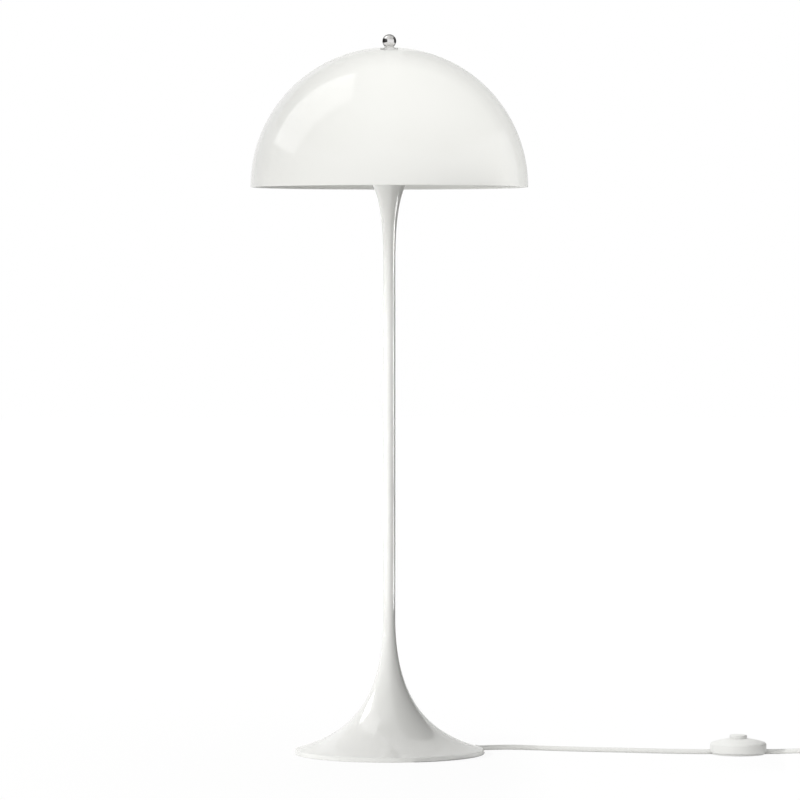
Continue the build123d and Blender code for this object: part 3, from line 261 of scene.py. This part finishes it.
def opal():
    """Gloss opal acrylic: a milky body under a clear polished skin, with a painted grey outline where it
    turns away from the eye.
    """
    acrylic = finish_of(
        "opal_acrylic", (0.85, 0.85, 0.835), (0.84, 0.84, 0.82),
        drift=3.0, clean=0.07, rubbed=0.11, rub_scale=8.0, grain=30.0, height=0.03,
        distance=0.0006, Coat_Weight=0.5, Coat_Roughness=0.03, IOR=1.49,
    )
    # painted shade: the colour greys to 0.50 towards the silhouette, a painted darker rim on the dome
    return paint_edge_shade(acrylic, 0.50, 1.0, 0.60, (0.50, 0.50, 0.49))


def polished_chrome():
    """Mirror chrome with hairline wipe marks and a painted dark reflection round its silhouette."""
    chrome = finish_of(
        "chrome_polished", (0.80, 0.79, 0.79), (0.75, 0.74, 0.74),
        drift=60.0, clean=0.02, rubbed=0.07, rub_scale=220.0, grain=900.0, height=0.02,
        distance=0.0001, Metallic=1.0,
    )
    # painted reflection: the colour falls nearly to black towards the silhouette, a painted dark rim on the
    # ball
    return paint_edge_shade(chrome, 0.34, 0.70, 0.92, (0.04, 0.04, 0.04))


def moulded_white():
    """Satin white moulded plastic with a fine spark-eroded texture."""
    return finish_of(
        "moulded_white", (0.85, 0.85, 0.835), (0.835, 0.835, 0.82),
        drift=14.0, clean=0.34, rubbed=0.44, rub_scale=60.0, grain=1400.0, height=0.35,
        distance=0.0002,
    )


def cord_sheath():
    """White flexible sheath, a little greyer and softer than the switch."""
    return finish_of(
        "cord_sheath", (0.75, 0.75, 0.735), (0.72, 0.72, 0.705),
        drift=18.0, clean=0.38, rubbed=0.52, rub_scale=40.0, grain=900.0, height=0.3,
        distance=0.0002,
    )


def soft_white():
    """Silicone washers and pads."""
    return finish_of(
        "silicone_white", (0.74, 0.74, 0.73), (0.70, 0.70, 0.69),
        drift=30.0, clean=0.45, rubbed=0.6, rub_scale=50.0, grain=700.0, height=0.3,
        distance=0.0002,
    )


def felt():
    """Pressed felt: matt, mottled and fibrous."""
    return finish_of(
        "felt_pale", (0.62, 0.62, 0.60), (0.50, 0.50, 0.48),
        drift=400.0, clean=0.85, rubbed=0.98, rub_scale=200.0, grain=2200.0, height=1.0,
        distance=0.0006, Sheen_Weight=0.4,
    )


def iron():
    """Sand-cast iron with a rough skin."""
    return finish_of(
        "cast_iron_raw", (0.09, 0.088, 0.085), (0.14, 0.12, 0.10),
        drift=40.0, clean=0.55, rubbed=0.8, rub_scale=60.0, grain=500.0, height=1.0,
        distance=0.0008, Metallic=0.7,
    )


def zinc_steel():
    """Bright zinc plating on steel."""
    return finish_of(
        "steel_zinc", (0.62, 0.63, 0.64), (0.52, 0.53, 0.54),
        drift=70.0, clean=0.22, rubbed=0.38, rub_scale=140.0, grain=900.0, height=0.3,
        distance=0.0001, Metallic=1.0,
    )


def bare_brass():
    """Turned brass, slightly dulled."""
    return finish_of(
        "brass_bare", (0.72, 0.52, 0.24), (0.60, 0.42, 0.20),
        drift=80.0, clean=0.2, rubbed=0.36, rub_scale=120.0, grain=900.0, height=0.3,
        distance=0.0001, Metallic=1.0,
    )


def ceramic():
    """Glazed white steatite."""
    return finish_of(
        "ceramic_glazed", (0.80, 0.78, 0.73), (0.76, 0.74, 0.69),
        drift=60.0, clean=0.12, rubbed=0.3, rub_scale=80.0, grain=700.0, height=0.4,
        distance=0.0002, Coat_Weight=0.4, Coat_Roughness=0.08,
    )


def frosted_glass():
    """The bulb's inside-frosted envelope."""
    return finish_of(
        "glass_frosted", (0.90, 0.90, 0.88), (0.86, 0.86, 0.84),
        drift=20.0, clean=0.25, rubbed=0.33, rub_scale=30.0, grain=900.0, height=0.1,
        distance=0.0001, Transmission_Weight=0.15, IOR=1.5,
    )


def cap_metal():
    """The bulb's bright aluminium cap."""
    return finish_of(
        "bulb_aluminium", (0.70, 0.70, 0.69), (0.60, 0.60, 0.59),
        drift=90.0, clean=0.25, rubbed=0.4, rub_scale=150.0, grain=800.0, height=0.3,
        distance=0.0001, Metallic=1.0,
    )


def woven_tie():
    """A white hook-and-loop strap with a fine weave."""
    material = finish_of(
        "tie_woven", (0.72, 0.72, 0.70), (0.64, 0.64, 0.62),
        drift=300.0, clean=0.8, rubbed=0.95, rub_scale=200.0, grain=1500.0, height=0.6,
        distance=0.0004, Sheen_Weight=0.3,
    )
    tree = material.node_tree
    place = tree.nodes.new("ShaderNodeTexCoord")
    weave = tree.nodes.new("ShaderNodeTexWave")
    weave.bands_direction = "DIAGONAL"
    weave.inputs["Scale"].default_value = WEAVE_SCALE
    bump = tree.nodes.new("ShaderNodeBump")
    bump.inputs["Distance"].default_value = WEAVE_HEIGHT
    shader = tree.nodes["Principled BSDF"]
    fine = shader.inputs["Normal"].links[0].from_socket
    tree.links.new(place.outputs["Object"], weave.inputs["Vector"])
    tree.links.new(weave.outputs["Fac"], bump.inputs["Height"])
    tree.links.new(fine, bump.inputs["Normal"])
    tree.links.new(bump.outputs["Normal"], shader.inputs["Normal"])
    return material


MATERIALS = {
    "enamel": enamel(),
    "opal": opal(),
    "chrome": polished_chrome(),
    "iron": iron(),
    "steel": zinc_steel(),
    "brass": bare_brass(),
    "felt": felt(),
    "white_pvc": cord_sheath(),
    "white_plastic": moulded_white(),
    "silicone": soft_white(),
    "ceramic": ceramic(),
    "bulb_glass": frosted_glass(),
    "bulb_metal": cap_metal(),
    "strap": woven_tie(),
}


def new_object(name, data):
    """An object in the scene for a mesh, curve, lamp or camera."""
    piece = bpy.data.objects.new(name, data)
    bpy.context.scene.collection.objects.link(piece)
    return piece


def dress(piece, slot):
    """Gives a piece the finish of a slot of the record."""
    piece.data.materials.clear()
    piece.data.materials.append(MATERIALS[slot])


def smooth(mesh):
    """Smooth shading with creases at real edges."""
    mesh.shade_smooth()
    mesh.set_sharp_from_angle(angle=math.radians(CREASE_ANGLE))


for row in frame["record"]["subparts"]:
    dress(NODES[row["node"]], row["material_slot"])
    smooth(NODES[row["node"]].data)


# ---- turned shells -----------------------------------------------------------------------------
def bezier(points, count):
    """Points along a cubic curve."""
    spots = []
    for k in range(count + 1):
        t = k / count
        s = 1 - t
        weights = (s**3, 3 * s**2 * t, 3 * s * t**2, t**3)
        spots.append(tuple(sum(w * p[i] for w, p in zip(weights, points)) for i in (0, 1)))
    return spots


def arc(centre, radius, start, end, count):
    """Points along an arc, angles in degrees from the radius towards up."""
    spots = []
    for k in range(count + 1):
        a = math.radians(start + (end - start) * k / count)
        spots.append((centre[0] + radius * math.cos(a), centre[1] + radius * math.sin(a)))
    return spots


def lathe(name, outline, segments):
    """A closed solid of revolution from a loop of (radius, height) points in millimetres."""
    verts, faces = [], []
    rows = []
    for r, z in outline:
        if r < ON_AXIS:
            rows.append([len(verts)])
            verts.append((0.0, 0.0, z * MM))
            continue
        rows.append(list(range(len(verts), len(verts) + segments)))
        for k in range(segments):
            a = 2 * math.pi * k / segments
            verts.append((r * math.cos(a) * MM, r * math.sin(a) * MM, z * MM))
    for here, after in zip(rows, rows[1:] + rows[:1]):
        for k in range(segments):
            n = (k + 1) % segments
            corners = [here[k % len(here)], here[n % len(here)], after[n % len(after)], after[k % len(after)]]
            face = list(dict.fromkeys(corners))
            if len(face) > 2:
                faces.append(face)
    mesh = bpy.data.meshes.new(name)
    mesh.from_pydata(verts, [], faces)
    mesh.validate()
    return new_object(name, mesh)


def settled(piece):
    """Applies a piece's modifiers, turns its faces outwards and smooths it."""
    graph = bpy.context.evaluated_depsgraph_get()
    mesh = bpy.data.meshes.new_from_object(piece.evaluated_get(graph))
    piece.modifiers.clear()
    piece.data = mesh
    work = bmesh.new()
    work.from_mesh(mesh)
    bmesh.ops.recalc_face_normals(work, faces=work.faces)
    work.to_mesh(mesh)
    work.free()
    smooth(mesh)
    return piece


def stands_for(piece, body, slot, *nodes):
    """A shell that takes a CAD node's place, finish and body."""
    dress(piece, slot)
    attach(piece, body)
    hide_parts(*nodes)
    return piece


def foot_curve(inset=0.0, shift=0.0):
    """The foot's outline, moved inwards by inset and along the rim by shift."""
    a = math.radians(FOOT_RIM_ANGLE)
    r0 = FOOT_R - inset * math.sin(a) - shift * math.cos(a)
    z0 = FOOT_RIM_Z - inset * math.cos(a) + shift * math.sin(a)
    pull = FOOT_RIM_PULL - shift
    neck = STEM_R - inset
    return [
        (r0, z0),
        (r0 - pull * math.cos(a), z0 + pull * math.sin(a)),
        (neck, FOOT_TOP_Z - FOOT_NECK_PULL),
        (neck, FOOT_TOP_Z),
    ]


def trumpet_curve(inset=0.0):
    """The upper trumpet's outline from its mouth down to the stem."""
    a = math.radians(TRUMPET_TOP_ANGLE)
    r0 = TRUMPET_TOP_R - inset * math.sin(a)
    z0 = TRUMPET_TOP_Z + inset * math.cos(a)
    neck = STEM_R - inset
    return [
        (r0, z0),
        (r0 - TRUMPET_TOP_PULL * math.cos(a), z0 - TRUMPET_TOP_PULL * math.sin(a)),
        (neck, TRUMPET_BOTTOM_Z + TRUMPET_NECK_PULL),
        (neck, TRUMPET_BOTTOM_Z),
    ]


def make_foot():
    """The trumpet foot with its rim bead and the arched notch for the cord."""
    outer, inner = foot_curve(), foot_curve(FOOT_WALL, FOOT_LIP_W)
    lip_r, lip_z = inner[0][0], FOOT_LIP_Z
    bead = arc((FOOT_R - FOOT_BEAD_R, lip_z + FOOT_BEAD_R), FOOT_BEAD_R, 0, -90, FOOT_BEAD_STEPS)
    outline = bezier(inner, FOOT_STEPS)[::-1][:-1]
    outline += [inner[0], (lip_r, lip_z + FOOT_LIP_BEVEL), (lip_r + FOOT_LIP_BEVEL, lip_z)]
    outline += bead[::-1] + bezier(outer, FOOT_STEPS)[1:]
    foot = lathe("foot_trumpet", outline, FOOT_ROUND)
    rod = [(0, 0), (NOTCH_R, 0), (NOTCH_R, NOTCH_REACH), (0, NOTCH_REACH)]
    cutter = lathe("notch_cutter", rod, NOTCH_ROUND)
    cutter.rotation_euler = (0, math.radians(90), math.radians(CORD_AZ))
    a = math.radians(CORD_AZ)
    start = (FOOT_R - NOTCH_L) * MM
    cutter.location = (start * math.cos(a), start * math.sin(a), CORD_Z * MM)
    settled(cutter)
    carve = foot.modifiers.new("notch", "BOOLEAN")
    carve.object = cutter
    carve.solver = "EXACT"
    bpy.context.view_layer.update()
    settled(foot)
    bpy.data.objects.remove(cutter)
    return stands_for(foot, "stand", "enamel", "foot_shell")


def make_stem():
    """The plain tube between the two trumpets."""
    bore = STEM_R - STEM_WALL
    step = (TRUMPET_BOTTOM_Z - FOOT_TOP_Z) / STEM_STEPS
    heights = [FOOT_TOP_Z + step * k for k in range(STEM_STEPS + 1)]
    outline = [(STEM_R, z) for z in heights] + [(bore, z) for z in reversed(heights)]
    stem = settled(lathe("stem_column", outline, STEM_ROUND))
    return stands_for(stem, "stand", "enamel", "stem_tube")


def make_trumpet():
    """The upper trumpet with its rolled mouth."""
    outer, inner = trumpet_curve(), trumpet_curve(TRUMPET_WALL)
    mid = ((outer[0][0] + inner[0][0]) / 2, (outer[0][1] + inner[0][1]) / 2)
    lip = arc(mid, TRUMPET_BEAD_R, TRUMPET_BEAD_START, TRUMPET_BEAD_END, TRUMPET_LIP_STEPS)
    outline = bezier(outer, TRUMPET_STEPS)[::-1][:-1] + lip + bezier(inner, TRUMPET_STEPS)[1:]
    trumpet = settled(lathe("upper_trumpet", outline, TRUMPET_ROUND))
    return stands_for(trumpet, "stand", "enamel", "top_trumpet")


def make_shade():
    """The half-sphere shade: outer and inner skin, rounded rim, seat boss, spot face and hole."""
    centre = SHADE_RIM_Z + SHADE_SKIRT
    inner_r = SHADE_R - SHADE_WALL
    spot = SHADE_SPOT_R + SHADE_SPOT_STEP
    spot_z = centre + math.sqrt(SHADE_R**2 - SHADE_SPOT_R**2)
    spot_angle = math.degrees(math.acos(spot / SHADE_R))
    boss_angle = math.degrees(math.acos((SHADE_BOSS_R + SHADE_BOSS_FILLET) / inner_r))
    boss_z = centre + inner_r - SHADE_BOSS_DROP
    rim_z = SHADE_RIM_Z + SHADE_RIM_R
    outline = arc((SHADE_R - SHADE_RIM_R, rim_z), SHADE_RIM_R, -90, 0, SHADE_RIM_STEPS)
    outline += arc((0, centre), SHADE_R, 0, spot_angle, SHADE_STEPS)
    outline += [(spot - SHADE_SPOT_BEVEL, spot_z), (SHADE_HOLE_R, spot_z), (SHADE_HOLE_R, boss_z)]
    outline += [(SHADE_BOSS_R - SHADE_BOSS_BEVEL, boss_z), (SHADE_BOSS_R, boss_z + SHADE_BOSS_BEVEL)]
    outline += arc((0, centre), inner_r, boss_angle, 0, SHADE_STEPS)
    outline += arc((inner_r + SHADE_RIM_R, rim_z), SHADE_RIM_R, 180, 270, SHADE_RIM_STEPS)
    shade = settled(lathe("opal_shade", outline, SHADE_ROUND))
    return stands_for(shade, "shade", "opal", "shade")


make_foot()
make_stem()
make_trumpet()
make_shade()


# ---- cords -------------------------------------------------------------------------------------
def radial(r, z):
    """A point on the side where the cord leaves the foot."""
    a = math.radians(CORD_AZ)
    return (r * math.cos(a), r * math.sin(a), z)


SWITCH_ROUTE = [
    radial(CORD_EXIT_R, CORD_Z),
    radial(CORD_EXIT_R + CORD_EXIT_RUN, CORD_Z),
    (224.0, 74.0, CORD_Z),
    (272.0, 58.0, CORD_Z),
    (340.0, 36.0, CORD_Z),
    (418.0, 20.0, CORD_Z),
    (500.0, -1.5, CORD_Z),
    (SWITCH_X - CORD_END_IN - SWITCH_RUN_IN, SWITCH_Y, CORD_Z),
    (SWITCH_X - CORD_END_IN, SWITCH_Y, CORD_Z),
]
LEAD_ROUTE = [
    (SWITCH_X + CORD_END_IN, SWITCH_Y, CORD_Z),
    (SWITCH_X + CORD_END_IN + SWITCH_RUN_OUT, SWITCH_Y, CORD_Z),
    (735.0, 1.5, CORD_Z + LEAD_RISE),
    (778.0, COIL_Y - COIL_R, COIL_Z),
]


def coil_points():
    """The coil's turns: half turns that shrink, one that climbs a layer, and half turns that grow."""
    halves = 2 * COIL_TURNS_IN
    radii = [COIL_R - k * COIL_PITCH / 2 for k in range(halves + 1)]
    radii += radii[halves - 1:0:-1]
    step = 2 * math.pi / POINTS_PER_TURN
    reach = 1 / math.cos(step / 2)
    spots = []
    y, side, z = COIL_Y - COIL_R, -1, COIL_Z
    for k, radius in enumerate(radii + [COIL_R]):
        centre = y - side * radius
        last = k == len(radii)
        share = 0.25 if last else 0.5
        rise = COIL_LAYER if k == halves else 0.0
        for n in range(int(POINTS_PER_TURN * share)):
            a = (n + 0.5) * step
            along = (1 - math.cos(a)) / 2
            x = COIL_X - side * radius * reach * math.sin(a)
            spots.append((x, centre + side * radius * reach * math.cos(a), z + rise * along))
        if not last:
            y -= 2 * side * radius
            side, z = -side, z + rise
    end = (COIL_X + COIL_R, y + COIL_R + 2 * CORD_R, z)
    return spots, end


COIL_SPOTS, COIL_END = coil_points()
PLUG_X = COIL_END[0] - PLUG_ASIDE
PLUG_Z = CORD_LIFT + PLUG_T / 2
PLUG_BOOT_Y = COIL_END[1] + TAIL_LENGTH
TAIL_ROUTE = [
    COIL_END,
    (COIL_END[0], COIL_END[1] + TAIL_START, COIL_END[2]),
    (PLUG_X, PLUG_BOOT_Y - TAIL_END, PLUG_Z),
    (PLUG_X, PLUG_BOOT_Y, PLUG_Z),
]


def cord_piece(name, route):
    """A round cord on one smooth line with the route as its control points."""
    curve = bpy.data.curves.new(name, "CURVE")
    curve.dimensions = "3D"
    spline = curve.splines.new("NURBS")
    spline.points.add(len(route) - 1)
    for point, spot in zip(spline.points, route):
        point.co = (*(c * MM for c in spot), 1)
    spline.order_u = CORD_ORDER
    spline.use_endpoint_u = True
    curve.resolution_u = CORD_STEPS
    curve.bevel_depth = CORD_R * MM
    curve.bevel_resolution = CORD_ROUND
    curve.use_fill_caps = True
    return new_object(name, curve)


def make_cords():
    """The cord from the foot to its switch, and from there over the coil to the plug."""
    first = cord_piece("cord_to_switch", SWITCH_ROUTE)
    stands_for(first, "stand", "white_pvc", "cord_foot_to_switch")
    second = cord_piece("cord_to_plug", LEAD_ROUTE + COIL_SPOTS + TAIL_ROUTE)
    stands_for(second, "stand", "white_pvc", "cord_switch_to_coil", "cord_coil", "cord_coil_to_plug")


make_cords()


# ---- floor, light and camera -------------------------------------------------------------------
FLOOR_SIZE, FLOOR_COLOUR, FLOOR_WHITE = 40.0, (0.91, 0.91, 0.90, 1), 0.95
ROOM_COLOUR, WHITE = (1.0, 1.0, 0.985, 1), (1, 1, 1, 1)
ROOM_LEFT, ROOM_RIGHT = 0.92, 0.99
ROOM_LEVEL, ROOM_TOP = 1.11, 1.23
ROOM_FRONT, ROOM_BACK = 1.23, 0.96
CAMERA_PLACE, CAMERA_DIP, CAMERA_LENS = (0.0193, -8.870, 0.8748), 1.523, 221.5
SENSOR_WIDTH, SIGHT_RANGE = 36.0, 60.0


def seen(tree):
    """1 for camera, glossy and transmission rays, which are to find white."""
    path = tree.nodes.new("ShaderNodeLightPath")
    total = path.outputs["Is Camera Ray"]
    for title in ("Is Glossy Ray", "Is Transmission Ray"):
        larger = tree.nodes.new("ShaderNodeMath")
        larger.operation = "MAXIMUM"
        tree.links.new(total, larger.inputs[0])
        tree.links.new(path.outputs[title], larger.inputs[1])
        total = larger.outputs[0]
    return total


def blend_shaders(tree, factor, first, second):
    """Two shaders mixed by a factor."""
    node = tree.nodes.new("ShaderNodeMixShader")
    for socket, source in zip(node.inputs, (factor, first, second)):
        tree.links.new(source, socket)
    return node.outputs[0]


def plain_shader(tree, kind, colour):
    """A shader of one colour; one that glows has a strength of 1, which the camera sees as white."""
    node = tree.nodes.new(kind)
    node.inputs["Color"].default_value = colour
    if "Strength" in node.inputs:
        node.inputs["Strength"].default_value = 1.0
    return node


def bare_tree(owner, kind):
    """An emptied node tree of a material or world, and the surface socket of its output."""
    owner.use_nodes = True
    owner.node_tree.nodes.clear()
    return owner.node_tree, owner.node_tree.nodes.new(kind).inputs["Surface"]


def floor_paint():
    """A pale floor that the camera sees as near white and that keeps a soft shadow."""
    material = bpy.data.materials.new("studio_floor")
    tree, surface = bare_tree(material, "ShaderNodeOutputMaterial")
    paint = plain_shader(tree, "ShaderNodeBsdfDiffuse", FLOOR_COLOUR)
    white = plain_shader(tree, "ShaderNodeEmission", WHITE)
    share = product(tree, seen(tree), FLOOR_WHITE)
    tree.links.new(blend_shaders(tree, share, paint.outputs[0], white.outputs[0]), surface)
    return material


def make_floor():
    """The studio floor at the height that the lamp stands on."""
    h = FLOOR_SIZE / 2
    mesh = bpy.data.meshes.new("floor")
    mesh.from_pydata([(-h, -h, 0), (h, -h, 0), (h, h, 0), (-h, h, 0)], [], [(0, 1, 2, 3)])
    mesh.materials.append(floor_paint())
    new_object("floor", mesh)


def light_world():
    """White to the camera and in reflections; a slightly uneven white room for the rest of the light."""
    world = bpy.data.worlds.new("studio")
    bpy.context.scene.world = world
    tree, surface = bare_tree(world, "ShaderNodeOutputWorld")
    place = tree.nodes.new("ShaderNodeTexCoord")
    split = tree.nodes.new("ShaderNodeSeparateXYZ")
    tree.links.new(place.outputs["Generated"], split.inputs[0])
    across = remap(tree, split.outputs["X"], -1.0, 1.0, ROOM_LEFT, ROOM_RIGHT)
    height = remap(tree, split.outputs["Z"], 0.0, 1.0, ROOM_LEVEL, ROOM_TOP)
    depth = remap(tree, split.outputs["Y"], -1.0, 1.0, ROOM_FRONT, ROOM_BACK)
    room = plain_shader(tree, "ShaderNodeBackground", ROOM_COLOUR)
    level_here = product(tree, product(tree, across, height), depth)
    tree.links.new(level_here, room.inputs["Strength"])
    white = plain_shader(tree, "ShaderNodeBackground", WHITE)
    tree.links.new(blend_shaders(tree, seen(tree), room.outputs[0], white.outputs[0]), surface)


def studio_cloth(name, tone, backed=False):
    """A grey cloth; a backed one is as white as the room on the side that its face turns away."""
    material = bpy.data.materials.new(name)
    tree, surface = bare_tree(material, "ShaderNodeOutputMaterial")
    cloth = plain_shader(tree, "ShaderNodeBsdfDiffuse", (tone, tone, tone, 1)).outputs[0]
    if backed:
        white = plain_shader(tree, "ShaderNodeEmission", WHITE).outputs[0]
        side = tree.nodes.new("ShaderNodeNewGeometry")
        cloth = blend_shaders(tree, side.outputs["Backfacing"], cloth, white)
    tree.links.new(cloth, surface)
    return material


def upright(first, second, low, high):
    """The corners of an upright sheet from one point of the floor plan to another."""
    return [(*first, low), (*second, low), (*second, high), (*first, high)]


def level(first, second, height):
    """The corners of a level sheet between two opposite corners of the floor plan."""
    (x0, y0), (x1, y1) = first, second
    return [(x0, y0, height), (x1, y0, height), (x1, y1, height), (x0, y1, height)]


def floor_strip(inner, outer, start, end, step, height):
    """The corners of a curved strip round the foot, its radii in millimetres and angles in degrees."""
    angles = [math.radians(a) for a in range(start, end, step)]
    spots = [(inner, a) for a in angles] + [(outer, a) for a in reversed(angles)]
    return [(r * MM * math.cos(a), r * MM * math.sin(a), height) for r, a in spots]


def screen(name, corners, material, shades=True, mirrored=True):
    """A studio screen that the camera doesn't see; it takes light away, shows in gloss, or both."""
    mesh = bpy.data.meshes.new(name)
    mesh.from_pydata(corners, [], [tuple(range(len(corners)))])
    mesh.materials.append(material)
    sheet = new_object(name, mesh)
    sheet.visible_camera = False
    sheet.visible_diffuse = sheet.visible_shadow = shades
    sheet.visible_glossy = mirrored


def soft_box(name, place, target, width, height, power, spread=180, mirrored=True):
    """A rectangular lamp that faces a point; it shows in gloss, or lights the matt body instead."""
    data = bpy.data.lights.new(name, "AREA")
    data.shape = "RECTANGLE"
    data.size, data.size_y = width, height
    data.energy = power
    data.spread = math.radians(spread)
    lamp = new_object(name, data)
    lamp.location = place
    lamp.rotation_euler = (Vector(target) - Vector(place)).to_track_quat("-Z", "Y").to_euler()
    lamp.visible_diffuse = not mirrored
    lamp.visible_glossy = mirrored


def hang_screens():
    """The cloths that give the white enamel and the ball their grey and dark reflections."""
    dark = studio_cloth("studio_dark_cloth", 0.15)
    grey = studio_cloth("studio_grey_cloth", 0.75)
    half = studio_cloth("studio_half_cloth", 0.45)
    pale = studio_cloth("studio_pale_cloth", 0.60)
    backed = studio_cloth("studio_backed_cloth", 0.03, backed=True)
    beside_foot = [(0.28, 0.35, 0.07), (0.28, -1.15, 0.12), (0.24, -1.15, 0.98), (0.24, 0.35, 0.98)]
    screen("screen_beside_foot", beside_foot, backed)
    screen("screen_beside_switch", upright((0.72, 0.04), (0.70, -0.30), 0.015, 0.12), backed)
    screen("screen_beside_shade", upright((-0.9, 0.8), (-0.9, -1.1), 1.0, 1.9), half, mirrored=False)
    screen("screen_right_of_shade", upright((0.8, 0.8), (0.8, -1.1), 1.15, 1.9), pale, mirrored=False)
    beside_ball = [
        (-0.017, 0.004, 1.281), (-0.007, -0.018, 1.281), (-0.007, -0.018, 1.290), (-0.017, 0.004, 1.294),
    ]
    screen("card_left", beside_ball, dark, shades=False)
    screen("card_right", upright((0.016, -0.010), (0.014, 0.012), 1.280, 1.298), dark, shades=False)
    under_rim = floor_strip(inner=FOOT_R - 2, outer=FOOT_R + 16, start=-75, end=14, step=8, height=0.0003)
    screen("cloth_under_rim", under_rim, dark)
    screen("ceiling", level((-6, -5), (6, 6), 4.2), grey, shades=False)
    screen("wall_back", upright((-1.2, 6), (6, 6), 0, 4.2), grey, shades=False)
    screen("ceiling_right", level((0.3, -5), (6, 6), 4.1), pale, shades=False)
    screen("wall_right", upright((0.4, 5.9), (6, 5.9), 0, 4.2), pale, shades=False)


def hang_lamps():
    """Lamps for the window on the shade, the foot's streak and the stem's bright lines."""
    soft_box("window_left", (-2.1, 0.54, 3.17), (0, 0, 1.1), width=1.9, height=2.9, power=15.0)
    soft_box("wall_left", (-2.2, 0.2, 0.52), (0, 0, 0.52), width=2.8, height=1.0, power=4.0)
    soft_box(
        "streak_left", (-1.09, 0.51, 0.90), (-0.03, 0, 0.1), width=0.50, height=0.50, power=0.5, spread=50,
    )
    soft_box(
        "fill_left", (-1.2, -1.2, 0.58), (0, 0, 0.58), width=0.10, height=0.62, power=0.13, spread=13,
        mirrored=False,
    )
    soft_box(
        "strip_right", (0.15, -0.008, 0.62), (0, 0, 0.62), width=0.022, height=0.74, power=0.11, spread=50,
    )


def make_camera():
    """The camera at the photograph's height, distance and dip."""
    data = bpy.data.cameras.new("camera")
    data.lens = CAMERA_LENS
    data.sensor_width = SENSOR_WIDTH
    data.clip_end = SIGHT_RANGE
    camera = new_object("camera", data)
    camera.location = CAMERA_PLACE
    camera.rotation_euler = (math.radians(90.0 - CAMERA_DIP), 0.0, 0.0)
    bpy.context.scene.camera = camera


make_floor()
light_world()
hang_screens()
hang_lamps()
make_camera()
bpy.context.scene.view_settings.view_transform = "Standard"
